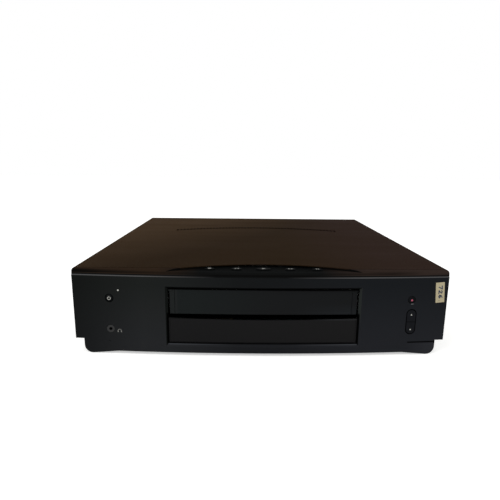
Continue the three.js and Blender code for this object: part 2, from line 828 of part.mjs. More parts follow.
function keyBoard() {
  const reach = keyRowHalf + 2 * bossRadius;
  const ys = [0, bezelDepth + 2 * bossRadius];
  const plate = block([windowX - reach, windowX + reach], ys, [keyBoardZ, keyBoardZ + boardThickness]);
  const stemEnd = shelfZ - shelfThickness - gap - flangeHeight - keyProud;
  const toggles = keyXs.map((x) =>
    block(
      [x - switchSize / 2, x + switchSize / 2],
      [keyY - switchSize / 2, keyY + switchSize / 2],
      [keyBoardZ + meld, stemEnd - keyTravel - switchGap],
    ),
  );
  return joined([plate, ...toggles]);
}

part("key_board", keyBoard(), circuit);

// Round buttons beside the window, each with a flange behind the front wall
const buttonDome = 0.5;

function roundPush() {
  const seat = bezelWall + gap + keyTravel;
  const stemEnd = controlY - switchHeight - keyTravel - switchGap - frontAt(clusterX);
  const profile = [
    [0, -stemEnd], [roundButton / 2, -stemEnd], [roundButton / 2, -seat - flangeHeight],
    [roundButton + flangeGrow, -seat - flangeHeight], [roundButton + flangeGrow, -seat],
    [roundButton, -seat], [roundButton, -buttonDome], [roundButton - buttonDome, 0], [0, buttonDome],
  ];
  return turned(profile);
}

for (const [name, x] of [["standby_button", -clusterX], ["record_button", clusterX]]) {
  const seat = frameAt(x, frontAt(clusterX), clusterZ);
  seat.rotation.x = Math.PI / 2;
  part(name, roundPush(), darkButton, seat);
}

// Channel rocker: rocks on two side pins behind the front wall
function channelRocker() {
  const front = frontAt(rockerX);
  const plate = slice(rockerOutline(0), front - edgeRound / 2, rockerPinY - rockerPinRadius - gap);
  const core = block(
    [rockerX - rockerWidth / 2, rockerX + rockerWidth / 2],
    [rockerPinY - rockerPinRadius - gap - meld, rockerPinY + rockerPinRadius],
    [rockerZ - rockerEar, rockerZ + rockerEar],
  );
  const reach = rockerWidth / 2 + rockerPinReach;
  const pin = rib(disc(rockerPinY, rockerZ, rockerPinRadius), rockerX - reach, rockerX + reach);
  const arc = disc(front - rockerHeight, rockerZ, rockerHeight);
  const waist = rib(arc, rockerX - rockerWidth, rockerX + rockerWidth, fineSteps * 2);
  const stems = [-1, 1].map((side) => {
    const z = rockerZ + side * (rockerHeight / 2 - rockerWidth / 2);
    const stemEnd = controlY - switchHeight - keyTravel - switchGap;
    return slice(disc(rockerX, z, rockerWidth / 4), rockerPinY - rockerPinRadius - gap - meld, stemEnd);
  });
  return joined([plate, core, pin, ...stems]).subtract(waist.subtract(
    block([0, half], [front - over, front + rockerHeight], [0, cabinetHeight]),
  ));
}

part("channel_rocker", channelRocker(), darkButton);

// Headphone jack: a threaded nose in the front wall and a body down to the board
function headphoneJack() {
  const front = frontAt(clusterX);
  const nose = slice(disc(-clusterX, jackZ, jackRadius), front, bezelWall + gap);
  const body = block(
    [-clusterX - 2 * jackRadius + gap, -clusterX + 2 * jackRadius - gap],
    [bezelWall, controlY - gap],
    [jackZ - jackRadius - over, jackZ + jackRadius + over],
  );
  const bore = slice(disc(-clusterX, jackZ, jackBore), front - over, controlY - 2 * over);
  return joined([nose, body]).subtract(bore);
}

part("headphone_jack", headphoneJack(), greyPlastic);

// Rear sockets, carried by the main board: one row through the rear panel with equal spaces
const panelY = cabinetDepth - 2 * sheet;
const socketProud = 2;
const socketBack = cabinetDepth + socketProud;
const socketInset = 24;
const socketFront = cabinetDepth - socketInset;
const rowStartInset = 22;
const rowEndInset = 28;
const inletZ = 24;
const inletHalf = 12;
const inletHalfHeight = 9;
const inletPole = 4.3;
const inletLobe = 4.6;
const inletWaist = 3.3;
const inletDepth = 11;
const inletPinRadius = 1.2;
const scartZ = 30;
const scartHalf = 27;
const scartHalfHeight = 8.5;
const scartIslandHalf = 22.5;
const scartIslandHalfHeight = 4.2;
const scartGroove = 1.6;
const scartKey = 3.2;
const scartDepth = 4;
const tunerHalf = 28;
const tunerHeight = 22;
const tunerDepth = 70;
const aerialPitch = 24;
const aerialRadius = 4.8;
const aerialBore = 3.6;
const aerialReach = 8;
const aerialDepth = 6;
const phonoPitch = 14;
const phonoZ = 30;
const phonoHalfHeight = 9;
const phonoRadius = 4.2;
const phonoBore = 1.6;
const boardTop = boardRise + boardThickness;
const tunerZ = boardTop + gap + tunerHeight / 2;

const socketHalves = [tunerHalf, scartHalf, scartHalf, phonoPitch, inletHalf];
const socketWidths = 2 * socketHalves.reduce((sum, reach) => sum + reach, 0);
const rowSpace = (cabinetWidth - rowStartInset - rowEndInset - socketWidths) / (socketHalves.length - 1);
const [tunerX, scartLeftX, scartRightX, phonoX, inletX] = socketHalves.map((reach, i) => {
  const before = socketHalves.slice(0, i).reduce((sum, other) => sum + 2 * other + rowSpace, 0);
  return rowStartInset - half + before + reach;
});
const scartXs = [scartLeftX, scartRightX];

function mainsInlet() {
  const body = block(
    [inletX - inletHalf, inletX + inletHalf], [socketFront, socketBack],
    [inletZ - inletHalfHeight, inletZ + inletHalfHeight],
  );
  const base = block(
    [inletX - inletHalf, inletX + inletHalf], [socketFront, panelY - over], [boardTop + gap, inletZ],
  );
  const mouth = [socketBack - inletDepth, socketBack + over];
  const lobes = [-1, 1].map((side) => slice(disc(inletX + side * inletPole, inletZ, inletLobe), ...mouth));
  const waistZs = [inletZ - inletWaist, inletZ + inletWaist];
  const waist = block([inletX - inletPole, inletX + inletPole], mouth, waistZs);
  const pins = [-1, 1].map((side) => {
    const pin = disc(inletX + side * inletPole, inletZ, inletPinRadius);
    return slice(pin, socketBack - inletDepth - over, socketBack - over, smallSteps);
  });
  return joined([cutBy(joined([body, base]), [...lobes, waist]), ...pins]);
}

part("mains_inlet", mainsInlet(), blackPlastic);

function scartSocket(x) {
  const body = block([x - scartHalf, x + scartHalf], [socketFront, socketBack],
    [boardTop + gap, scartZ + scartHalfHeight]);
  const ring = (grow) => {
    const [a, b] = [scartIslandHalf + grow, scartIslandHalfHeight + grow];
    return polygon([
      [x - a, scartZ - b], [x + a - scartKey, scartZ - b], [x + a, scartZ - b + scartKey],
      [x + a, scartZ + b], [x - a, scartZ + b],
    ]);
  };
  const groove = slice(ring(scartGroove), socketBack - scartDepth, socketBack + over).subtract(
    slice(ring(0), socketBack - scartDepth - over, socketBack + 2 * over),
  );
  return body.subtract(groove);
}

scartXs.forEach((x, i) => part(`scart_socket_${i + 1}`, scartSocket(x), blackPlastic));

function tunerCan() {
  const can = block([tunerX - tunerHalf, tunerX + tunerHalf], [panelY - tunerDepth - over, panelY - gap],
    [boardTop + gap, boardTop + gap + tunerHeight]);
  const sockets = [-1, 1].flatMap((side) => {
    const x = tunerX + (side * aerialPitch) / 2;
    const end = cabinetDepth + aerialReach;
    const shell = slice(disc(x, tunerZ, aerialRadius), panelY - over, end);
    const bore = slice(disc(x, tunerZ, aerialBore), end - aerialDepth, end + over);
    const pin = slice(disc(x, tunerZ, inletPinRadius), end - aerialDepth - over, end - over, smallSteps);
    return [shell.subtract(bore).add(pin)];
  });
  return joined([can, ...sockets]);
}

part("tuner_can", tunerCan(), steel);

function audioJacks() {
  const body = block([phonoX - phonoPitch, phonoX + phonoPitch], [socketFront, socketBack - socketProud / 2],
    [boardTop + gap, phonoZ + phonoHalfHeight]);
  const rings = [-1, 1].map((side) => {
    const x = phonoX + (side * phonoPitch) / 2;
    const end = cabinetDepth + aerialReach;
    const shell = slice(disc(x, phonoZ, phonoRadius), socketBack - socketProud - over, end);
    return shell.subtract(slice(disc(x, phonoZ, phonoBore), end - aerialDepth, end + over, smallSteps));
  });
  return joined([body, ...rings]);
}

part("audio_jacks", audioJacks(), brass);

// Rear panel: the pan's inner outline, cut round each socket
function rearPanel() {
  const low = panTop + gap;
  const wide = lipX - sheet - gap;
  const narrow = stepX - sheet - 2 * gap;
  const high = cabinetHeight - sheet - gap;
  const step = stepHeight + gap;
  const outline = polygon([
    [-narrow, low], [narrow, low], [narrow, step], [wide, step],
    [wide, high - cornerRadius], [wide - cornerRadius, high], [cornerRadius - wide, high],
    [-wide, high - cornerRadius], [-wide, step], [-narrow, step],
  ]);
  const plate = slice(outline, panelY, panelY + sheet);
  const through = [panelY - over, panelY + sheet + over];
  const hole = (x0, x1, z0, z1) => block([x0 - gap, x1 + gap], through, [z0 - gap, z1 + gap]);
  const aerials = [-1, 1].map((side) =>
    slice(disc(tunerX + (side * aerialPitch) / 2, tunerZ, aerialRadius + gap), ...through),
  );
  return cutBy(plate, [
    hole(inletX - inletHalf, inletX + inletHalf, inletZ - inletHalfHeight, inletZ + inletHalfHeight),
    ...scartXs.map((x) => hole(x - scartHalf, x + scartHalf, boardTop + gap, scartZ + scartHalfHeight)),
    hole(phonoX - phonoPitch, phonoX + phonoPitch, boardTop + gap, phonoZ + phonoHalfHeight),
    ...aerials,
  ]);
}

part("rear_panel", rearPanel(), blackSheet);

// Main board and the large parts on it
const transformerInset = 66;
const transformerX = half - transformerInset;
const transformerShare = 0.58;
const transformerY = boardFrontY + transformerShare * (socketFront - boardFrontY);
const transformerWidth = 56;
const transformerDepth = 44;
const transformerHeight = 46;
const windingShare = 0.62;
const capacitorInset = 112;
const capacitorX = half - capacitorInset;
const capacitorShare = 0.75;
const capacitorY = boardFrontY + capacitorShare * (socketFront - boardFrontY);
const capacitorRadius = 12;
const capacitorHeight = 36;
const sinkInset = 160;
const sinkX = half - sinkInset;
const sinkWidth = 60;
const sinkDepth = 22;
const sinkHeight = 36;
const sinkFins = 7;
const sinkBase = 3;
const sinkY = socketFront - over - sinkDepth + sinkBase;

part("main_board", block([-boardHalf, boardHalf], [boardFrontY, boardBackY], [boardRise, boardTop]), circuit);

function transformer() {
  const base = boardTop + gap;
  const core = block(
    [transformerX - transformerWidth / 2, transformerX + transformerWidth / 2],
    [transformerY - transformerDepth / 4, transformerY + transformerDepth / 4],
    [base, base + transformerHeight],
  );
  const reach = (transformerWidth * windingShare) / 2;
  const winding = stadium(
    transformerX - reach, transformerX + reach,
    transformerY - transformerDepth / 2, transformerY + transformerDepth / 2,
  );
  const inset = (transformerHeight * (1 - windingShare)) / 2;
  return core.add(slab(winding, base + inset, base + transformerHeight - inset, smallSteps));
}

part("transformer", transformer(), steel);

const canTop = capacitorHeight;
const capacitor = turned([
  [0, 0], [capacitorRadius, 0], [capacitorRadius, canTop - edgeRound],
  [capacitorRadius - edgeRound, canTop], [0, canTop],
]);
part("capacitor", capacitor, darkButton, frameAt(capacitorX, capacitorY, boardTop + gap));

function heatSink() {
  const base = boardTop + gap;
  const zs = [base, base + sinkHeight];
  const wall = block([sinkX - sinkWidth / 2, sinkX + sinkWidth / 2], [sinkY - sinkBase, sinkY], zs);
  const pitch = (sinkWidth - sinkBase) / (sinkFins - 1);
  const fins = Array.from({ length: sinkFins }, (_, i) => {
    const x = sinkX - sinkWidth / 2 + i * pitch;
    return block([x, x + sinkBase / 2], [sinkY - meld, sinkY + sinkDepth - sinkBase], zs);
  });
  return joined([wall, ...fins]);
}

part("heat_sink", heatSink(), polished);

// Tape transport, placed from the middle of the deck and the middle of the drum
const drumY = 184;
const drumRadius = 31;
const drumTilt = (5 * Math.PI) / 180;
const drumLow = 21;
const lowerDrumHeight = 11;
const upperDrumHeight = 13;
const drumStandRadius = 18;
const drumBossRadius = 8.2;
const reelSpacing = 92;
const reelY = 87;
const reelTeeth = 24;
const reelModule = 2;
const reelRimHeight = 3.5;
const reelHubRadius = 11;
const reelHubHeight = 7;
const spindleRadius = 5.5;
const spindleHeight = 12;
const spindleKeys = 6;
const spindleKeyWidth = 1.6;
const spindleKeyReach = 2;
const axleRadius = 2;
const axleProud = 2;
const capstanAcross = 62;
const capstanX = deckX + capstanAcross;
const capstanY = 150;
const capstanRadius = 2;
const capstanHeight = 30;
const flywheelRadius = 22;
const flywheelThickness = 3;
const flywheelLow = 6.2;
const pulleyRadius = 11;
const pulleyThickness = 2.6;
const clutchAcross = 18;
const clutchX = deckX + clutchAcross;
const clutchY = 132;
const clutchRadius = 13;
const beltThickness = 1;
const beltWidth = 2;
const rollerRadius = 5.5;
const rollerHeight = 14;
const pinchAcross = 88;
const pinchPivotX = deckX + pinchAcross;
const pinchPivotY = 172;
const pinchReach = 28;
const pinchRestAngle = (187 * Math.PI) / 180;
const armThickness = 2;
const armHalfWidth = 4;
const postHeight = 20;
const idlerReach = 30;
const idlerPivotY = reelY + idlerReach;
const idlerTeeth = 13;
const idlerModule = 2;
const tensionAcross = 78;
const tensionPivotX = deckX - tensionAcross;
const tensionPivotY = 152;
const tensionReach = 26;
const tensionRestAngle = (8 * Math.PI) / 180;
const guideX = 28;
const guideY = -33;
const guideRunX = 13;
const guideRunY = 41;
const guideBase = 5;
const guideStem = 1.8;
const guideRadius = 3;
const guideHeight = 20;
const modeTeeth = 36;
const modeModule = 1;
const pinionTeeth = 9;
const modePhaseShare = 0.75 * modeTeeth;
const pinionPhaseShare = 0.25 * pinionTeeth + 0.5;
const modeAcross = 76;
const modeX = deckX - modeAcross;
const modeY = 203;
const gearThickness = 4;
const motorRadius = 10;
const motorHeight = 24;
const motorLift = 7;
const motorBracket = 4;
const lampY = 134;
const lampRadius = 2.5;
const lampHeight = 18;
const rideHeight = deckTop + gap;

// Deck plate: carries every axle and post, with slots for the two guides
function trackOutline(side, grow) {
  const run = Math.hypot(guideRunX, guideRunY);
  const lean = Math.atan2(side * guideRunX, guideRunY);
  const place = (across, along) => [
    deckX + side * guideX + across * Math.cos(lean) + along * Math.sin(lean),
    drumY + guideY - across * Math.sin(lean) + along * Math.cos(lean),
  ];
  const width = guideStem + grow;
  const end = run + width;
  return polygon([place(-width, -width), place(width, -width), place(width, end), place(-width, end)]);
}

const axlePlaces = [
  [deckX - reelSpacing / 2, reelY, reelHubHeight],
  [deckX + reelSpacing / 2, reelY, reelHubHeight],
  [deckX, idlerPivotY, armThickness],
  [pinchPivotX, pinchPivotY, armThickness + gearThickness],
  [tensionPivotX, tensionPivotY, armThickness],
  [modeX, modeY, gearThickness],
];

function deckPlate() {
  const plate = block([deckX - deckHalf, deckX + deckHalf], [deckFrontY, deckBackY], [deckLow, deckTop]);
  const axles = axlePlaces.map(([x, y, height]) =>
    slab(disc(x, y, axleRadius), deckTop - meld, rideHeight + height + axleProud, smallSteps),
  );
  const clutchAxle = slab(disc(clutchX, clutchY, axleRadius), flywheelLow, deckLow + meld, smallSteps);
  const through = [deckLow - over, deckTop + over];
  const tracks = [-1, 1].map((side) => slab(trackOutline(side, 2 * gap), ...through));
  const shaftHole = slab(disc(capstanX, capstanY, capstanRadius + 2 * gap), ...through, smallSteps);
  return cutBy(joined([plate, ...axles, clutchAxle]), [...tracks, shaftHole]);
}

part("deck_plate", deckPlate(), steel);

// Side frames: upright plates on the deck whose slots carry the loading carriage
const holderWall = 0.8;
const holderHalf = cassetteWidth / 2 + cassettePlay / 2;
const carriageWall = 1;
const carriageHalf = holderHalf + holderWall + gap + carriageWall;
const frameHalf = carriageHalf + gap + carriageWall;
const holderFrontY = sillBackY + over;
const holderDepth = 55;
const holderInner = cassetteHeight + over;
const holderTop = cassetteFloor + holderInner + holderWall;
const railRise = 12;
const railZ = cassetteFloor + railRise;
const railPin = 2;
const carriageTravel = 60;
const holderDrop = 18;
const frameMargin = 3;
const frameHigh = holderTop + frameMargin;
const frameFrontY = deckFrontY + over;
const frameBackY = holderFrontY + holderDepth + carriageTravel + frameMargin + over;
const pinInset = 9;
const frameFoot = 7;
const pinYs = [holderFrontY + pinInset, holderFrontY + holderDepth - pinInset];

function spanX(side, inner, outer) {
  return [deckX + side * inner, deckX + side * outer].sort((a, b) => a - b);
}

function sideFrame(side) {
  const wall = spanX(side, frameHalf - carriageWall, frameHalf);
  const plate = block(wall, [frameFrontY, frameBackY], [rideHeight, frameHigh]);
  const foot = block(spanX(side, frameHalf - meld, frameHalf + frameFoot), [frameFrontY, frameBackY],
    [rideHeight, rideHeight + carriageWall]);
  const slot = stadium(
    pinYs[0] - railPin - gap, pinYs[1] + carriageTravel + railPin + gap,
    railZ - railPin - gap, railZ + railPin + gap,
  );
  return plate.add(foot).subtract(rib(slot, wall[0] - over, wall[1] + over, slotSteps));
}

part("side_frame_left", sideFrame(-1), steel);
part("side_frame_right", sideFrame(1), steel);

// Loading carriage: two side plates under a bridge, it slides back on pins in the side frames
function loadingCarriage() {
  const bridgeZ = holderTop + gap * 2;
  const ys = [holderFrontY + over, holderFrontY + holderDepth];
  const solids = [
    block([deckX - carriageHalf, deckX + carriageHalf], [holderFrontY + holderDepth / 2, ys[1]],
      [bridgeZ, bridgeZ + carriageWall]),
  ];
  for (const side of [-1, 1]) {
    const wall = spanX(side, carriageHalf - carriageWall, carriageHalf);
    const plate = block(wall, ys, [cassetteFloor - holderDrop / 2, bridgeZ + carriageWall]);
    const slots = pinYs.map((y) =>
      rib(
        stadium(y - pinInset / 2 - railPin - gap, y - pinInset / 2 + railPin + gap,
          railZ - holderDrop - railPin - gap, railZ + railPin + gap),
        wall[0] - over, wall[1] + over, slotSteps,
      ),
    );
    const pins = pinYs.map((y) =>
      rib(disc(y, railZ, railPin), ...spanX(side, carriageHalf - carriageWall, frameHalf + gap), smallSteps),
    );
    solids.push(cutBy(plate, slots), ...pins);
  }
  return joined(solids);
}

part("loading_carriage", loadingCarriage(), steel);

// Cassette holder: an open box round the cassette, with ledges under its two ends
const ledgeReach = 15;
const stopWidth = 14;
const stopHeight = 9;
const holderWindow = 44;
const stopX = 69;

function cassetteHolder() {
  const ys = [holderFrontY, holderFrontY + holderDepth];
  const outer = holderHalf + holderWall;
  const roof = block([deckX - outer, deckX + outer], ys, [holderTop - holderWall, holderTop]);
  const windows = [-1, 1].map((side) => {
    const x = deckX + (side * reelSpacing) / 2;
    return block([x - holderWindow / 2, x + holderWindow / 2],
      [ys[0] + holderDepth / 4, ys[1] - holderDepth / 4], [holderTop - 2 * over, holderTop + over]);
  });
  const solids = [cutBy(roof, windows)];
  for (const side of [-1, 1]) {
    solids.push(block(spanX(side, holderHalf, outer), ys, [cassetteFloor - holderWall, holderTop]));
    const ledge = spanX(side, holderHalf - ledgeReach, outer);
    solids.push(block(ledge, ys, [cassetteFloor - holderWall, cassetteFloor]));
    solids.push(block(spanX(side, stopX, stopX + stopWidth), [ys[1] - holderWall, ys[1]],
      [holderTop - stopHeight, holderTop]));
    const pinXs = spanX(side, holderHalf, carriageHalf);
    pinYs.forEach((y) => solids.push(rib(disc(y - pinInset / 2, railZ, railPin), ...pinXs, smallSteps)));
  }
  return joined(solids);
}

part("cassette_holder", cassetteHolder(), steel);

// Drum: both halves share a tilted axis, the lower half stands on the deck
const drumAxis = frameAt(deckX, drumY, drumLow);
drumAxis.rotation.x = -drumTilt;
const standSink = 4;
const drumGap = gap;
const headWindow = 5;
const leadHeight = 2;

function lowerDrum() {
  const disk = turned([
    [0, 0], [drumRadius, 0], [drumRadius, leadHeight], [drumRadius - gap, leadHeight],
    [drumRadius - gap, lowerDrumHeight], [0, lowerDrumHeight],
  ], drumSteps);
  const stand = slab(disc(0, 0, drumStandRadius), rideHeight - drumLow - standSink, meld);
  const deck = block([-deckHalf, deckHalf], [-deckHalf, deckHalf], [-drumLow, rideHeight - drumLow]);
  const tilt = (drumTilt * 180) / Math.PI;
  return joined([disk, stand]).subtract(deck.rotate([tilt, 0, 0]));
}

part("lower_drum", lowerDrum(), polished, drumAxis);

function upperDrum() {
  const low = lowerDrumHeight + drumGap;
  const high = low + upperDrumHeight;
  const body = turned([
    [0, low], [drumRadius - edgeRound, low], [drumRadius, low + edgeRound], [drumRadius, high - edgeRound],
    [drumRadius - edgeRound, high], [drumStandRadius, high], [drumStandRadius, high - over],
    [drumBossRadius, high - over], [drumBossRadius, high + axleProud], [0, high + axleProud],
  ], drumSteps);
  const heads = [-1, 1].map((side) => {
    const x = side * drumRadius;
    const reach = headWindow / 2;
    return block([x - reach, x + reach], [-reach, reach], [low - over, low + over]);
  });
  return cutBy(body, heads);
}

part("upper_drum", upperDrum(), polished, drumAxis);

// Reel tables: toothed rim, hub and a keyed spindle that goes into the cassette's reel
function reelTable() {
  const rim = slab(gearOutline(reelTeeth, reelModule), 0, reelRimHeight);
  const hub = slab(disc(0, 0, reelHubRadius), 0, reelHubHeight);
  const spindle = turned([
    [0, 0], [spindleRadius, 0], [spindleRadius, spindleHeight],
    [spindleRadius / 2, spindleHeight + axleProud], [0, spindleHeight + axleProud],
  ], smallSteps * 2);
  const keys = Array.from({ length: spindleKeys / 2 }, (_, i) => {
    const reach = spindleRadius + spindleKeyReach;
    const zs = [reelHubHeight - meld, spindleHeight - axleProud];
    const bar = block([-reach, reach], [-spindleKeyWidth / 2, spindleKeyWidth / 2], zs);
    return bar.rotate([0, 0, (i * 360) / spindleKeys]);
  });
  const bore = slab(disc(0, 0, axleRadius + gap), -over, reelHubHeight + axleProud + gap, smallSteps);
  return joined([rim, hub, spindle, ...keys]).subtract(bore);
}

for (const [name, side] of [["supply_reel_table", -1], ["take_up_reel_table", 1]]) {
  part(name, reelTable(), greyPlastic, frameAt(deckX + (side * reelSpacing) / 2, reelY, rideHeight));
}

// Capstan: a ground shaft with its flywheel and belt pulley under the deck
function capstan() {
  const pulleyTop = flywheelThickness + pulleyThickness;
  const end = rideHeight - flywheelLow + capstanHeight;
  return turned([
    [0, 0], [flywheelRadius, 0], [flywheelRadius, flywheelThickness],
    [pulleyRadius + over, flywheelThickness], [pulleyRadius, flywheelThickness + meld],
    [pulleyRadius, pulleyTop], [capstanRadius, pulleyTop], [capstanRadius, end], [0, end],
  ]);
}

part("capstan", capstan(), polished, frameAt(capstanX, capstanY, flywheelLow));

function capstanMotor() {
  const low = flywheelLow + flywheelThickness + pulleyThickness + gap;
  const ring = slab(disc(capstanX, capstanY, flywheelRadius), low, deckLow - gap);
  return ring.subtract(slab(disc(capstanX, capstanY, capstanRadius + gap), low - over, deckLow, smallSteps));
}

part("capstan_motor", capstanMotor(), greyPlastic);

function clutchPulley() {
  const low = flywheelThickness + meld;
  const end = deckLow - flywheelLow - gap;
  const disk = turned([
    [0, low], [clutchRadius, low], [clutchRadius, low + beltWidth],
    [reelHubRadius / 2, low + beltWidth], [reelHubRadius / 2, end], [0, end],
  ]);
  return disk.subtract(slab(disc(0, 0, axleRadius + gap), -over, deckLow, smallSteps));
}

part("clutch_pulley", clutchPulley(), greyPlastic, frameAt(clutchX, clutchY, flywheelLow));

// Drive belt: two tangents and two arcs round the capstan's pulley and the clutch pulley
function beltOutline(grow) {
  const run = new THREE.Vector2(clutchX - capstanX, clutchY - capstanY);
  const heading = run.angle();
  const lean = Math.acos((pulleyRadius - clutchRadius) / run.length());
  const outline = new THREE.Shape();
  outline.absarc(capstanX, capstanY, pulleyRadius + grow, heading + lean, heading - lean + 2 * Math.PI);
  outline.absarc(clutchX, clutchY, clutchRadius + grow, heading - lean, heading + lean);
  return outline;
}

const beltLow = flywheelLow + flywheelThickness + meld;
const driveBelt = slab(beltOutline(gap + beltThickness), beltLow, beltLow + beltWidth).subtract(
  slab(beltOutline(gap), beltLow - over, beltLow + beltWidth + over),
);
part("drive_belt", driveBelt, rubber);

// Arms: a flat bar from a bored hub to a far end, built along +X and turned to its rest angle
function arm(reach, lift) {
  const bar = block([0, reach], [-armHalfWidth / 2, armHalfWidth / 2], [lift, lift + armThickness]);
  const hub = slab(disc(0, 0, armHalfWidth), 0, lift + armThickness, smallSteps);
  const end = slab(disc(reach, 0, armHalfWidth), lift, lift + armThickness, smallSteps);
  const bore = slab(disc(0, 0, axleRadius + gap), -over, lift + armThickness + over, smallSteps);
  return joined([bar, hub, end]).subtract(bore);
}

function armFrame(x, y, z, angle) {
  const frame = frameAt(x, y, z);
  frame.rotation.z = angle;
  return frame;
}

const pinchFrame = armFrame(pinchPivotX, pinchPivotY, rideHeight, pinchRestAngle);
const rollerLow = gearThickness + armThickness + gap;
const pinchPinHigh = rollerLow + rollerHeight + over;
const pinchPin = slab(disc(pinchReach, 0, axleRadius / 2), gearThickness, pinchPinHigh, smallSteps);
part("pinch_arm", arm(pinchReach, gearThickness).add(pinchPin), steel, pinchFrame);

const rollerBore = slab(disc(0, 0, axleRadius / 2 + gap), -over, rollerHeight + over, smallSteps);
const roller = slab(disc(0, 0, rollerRadius), 0, rollerHeight).subtract(rollerBore);
part("pinch_roller", roller, rubber, frameAt(pinchReach, 0, rollerLow, pinchFrame));

const idlerFrame = armFrame(deckX, idlerPivotY, rideHeight, -Math.PI / 2);
const idlerPinHigh = armThickness + gap + reelRimHeight + over;
const idlerPin = slab(disc(idlerReach, 0, axleRadius / 2), 0, idlerPinHigh, smallSteps);
part("idler_arm", arm(idlerReach, 0).add(idlerPin), steel, idlerFrame);

const idlerBore = slab(disc(0, 0, axleRadius / 2 + gap), -over, reelRimHeight + over, smallSteps);
const idlerGear = slab(gearOutline(idlerTeeth, idlerModule), 0, reelRimHeight).subtract(idlerBore);
part("idler_gear", idlerGear, whitePlastic, frameAt(idlerReach, 0, armThickness + gap, idlerFrame));

const tensionFrame = armFrame(tensionPivotX, tensionPivotY, rideHeight, tensionRestAngle);
const tensionPost = slab(disc(tensionReach, 0, axleRadius), 0, postHeight, smallSteps);
part("tension_arm", arm(tensionReach, 0).add(tensionPost), polished, tensionFrame);

// Tape guides: a base on the deck, a stem down its slot and a flanged post
function tapeGuide() {
  const base = block([-guideBase, guideBase], [-guideBase, guideBase], [0, armThickness]);
  const stem = slab(disc(0, 0, guideStem), deckLow - rideHeight - over, meld, smallSteps);
  const flange = guideRadius + over;
  const post = turned([
    [0, 0], [guideRadius, 0], [guideRadius, guideHeight], [flange, guideHeight],
    [flange, guideHeight + over], [0, guideHeight + over],
  ], smallSteps * 3);
  return joined([base, stem, post]);
}

for (const [name, side] of [["guide_left", -1], ["guide_right", 1]]) {
  part(name, tapeGuide(), polished, frameAt(deckX + side * guideX, drumY + guideY, rideHeight));
}

// Heads beside the drum, each on its own small stand
const eraseAcross = 54;
const eraseX = deckX - eraseAcross;
const eraseY = 171;
const soundAcross = 53;
const soundX = deckX + soundAcross;
const soundY = 183;
const headHalfWidth = 5;
const headHalfDepth = 3.6;
const headHeight = 24;
const headStand = 10;

function tapeHead(x, y) {
  const stand = block([x - headHalfDepth, x + headHalfDepth], [y - headHalfDepth, y + headHalfDepth],
    [rideHeight, rideHeight + headStand + meld]);
  const shell = slab(stadium(x - headHalfWidth, x + headHalfWidth, y - headHalfDepth, y + headHalfDepth),
    rideHeight + headStand, rideHeight + headHeight, smallSteps);
  return stand.add(shell);
}

part("erase_head", tapeHead(eraseX, eraseY), polished);
part("audio_control_head", tapeHead(soundX, soundY), polished);

// Loading motor over its pinion, and the mode gear it turns
const gearCentres = ((modeTeeth + pinionTeeth) * modeModule) / 2;
const pinionY = modeY - gearCentres;
const modeGear = slab(gearOutline(modeTeeth, modeModule, modePhaseShare), 0, gearThickness).subtract(
  slab(disc(0, 0, axleRadius + gap), -over, gearThickness + over, smallSteps),
);
part("mode_gear", modeGear, whitePlastic, frameAt(modeX, modeY, rideHeight));

const pinionShaft = slab(disc(0, 0, axleRadius / 2), 0, motorLift + over, smallSteps);
const pinionGear = slab(gearOutline(pinionTeeth, modeModule, pinionPhaseShare), 0, gearThickness);
part("motor_pinion", pinionGear.add(pinionShaft), brass, frameAt(modeX, pinionY, rideHeight));

function loadingMotor() {
  const low = rideHeight + motorLift;
  const can = slab(disc(modeX, pinionY, motorRadius), low, low + motorHeight);
  const bracketX = modeX - motorRadius - motorBracket;
  const ys = [pinionY - motorRadius, pinionY + motorRadius];
  const plate = block([bracketX, modeX], ys, [low, low + carriageWall]);
  const leg = block([bracketX, bracketX + carriageWall], ys, [rideHeight, low + meld]);
  const bore = slab(disc(modeX, pinionY, axleRadius / 2 + gap), low - over, low + 2 * over, smallSteps);
  return joined([can, plate, leg]).subtract(bore);
}

part("loading_motor", loadingMotor(), steel);

const lamp = turned([
  [0, 0], [lampRadius, 0], [lampRadius, lampHeight],
  [lampRadius / 2, lampHeight + lampRadius / 2], [0, lampHeight + lampRadius / 2],
], 2 * smallSteps);
part("tape_end_lamp", lamp, clearGlass, frameAt(deckX, lampY, rideHeight));

// The origin lies under the middle of the recorder's box
const frontReach = bezelBow;
const rearReach = cabinetDepth + aerialReach;
recorder.position.y = (frontReach - rearReach) / 2;

const model = new THREE.Group();
model.add(recorder);
export default model;
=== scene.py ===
import math

import bmesh
import bpy
from mathutils import Euler, Matrix, Vector


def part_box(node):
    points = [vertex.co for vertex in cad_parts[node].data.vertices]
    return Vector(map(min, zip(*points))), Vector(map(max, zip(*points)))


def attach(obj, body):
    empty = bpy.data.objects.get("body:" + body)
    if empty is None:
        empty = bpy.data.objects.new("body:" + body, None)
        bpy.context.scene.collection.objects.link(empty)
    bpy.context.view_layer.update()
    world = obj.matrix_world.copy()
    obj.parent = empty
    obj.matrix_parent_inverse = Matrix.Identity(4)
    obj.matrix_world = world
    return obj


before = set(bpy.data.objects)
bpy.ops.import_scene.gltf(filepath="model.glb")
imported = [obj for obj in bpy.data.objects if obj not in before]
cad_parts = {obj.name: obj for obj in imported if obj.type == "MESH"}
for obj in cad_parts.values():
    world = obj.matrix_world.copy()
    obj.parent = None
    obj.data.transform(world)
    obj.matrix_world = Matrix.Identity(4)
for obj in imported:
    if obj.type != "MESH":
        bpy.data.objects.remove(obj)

bpy.context.view_layer.update()

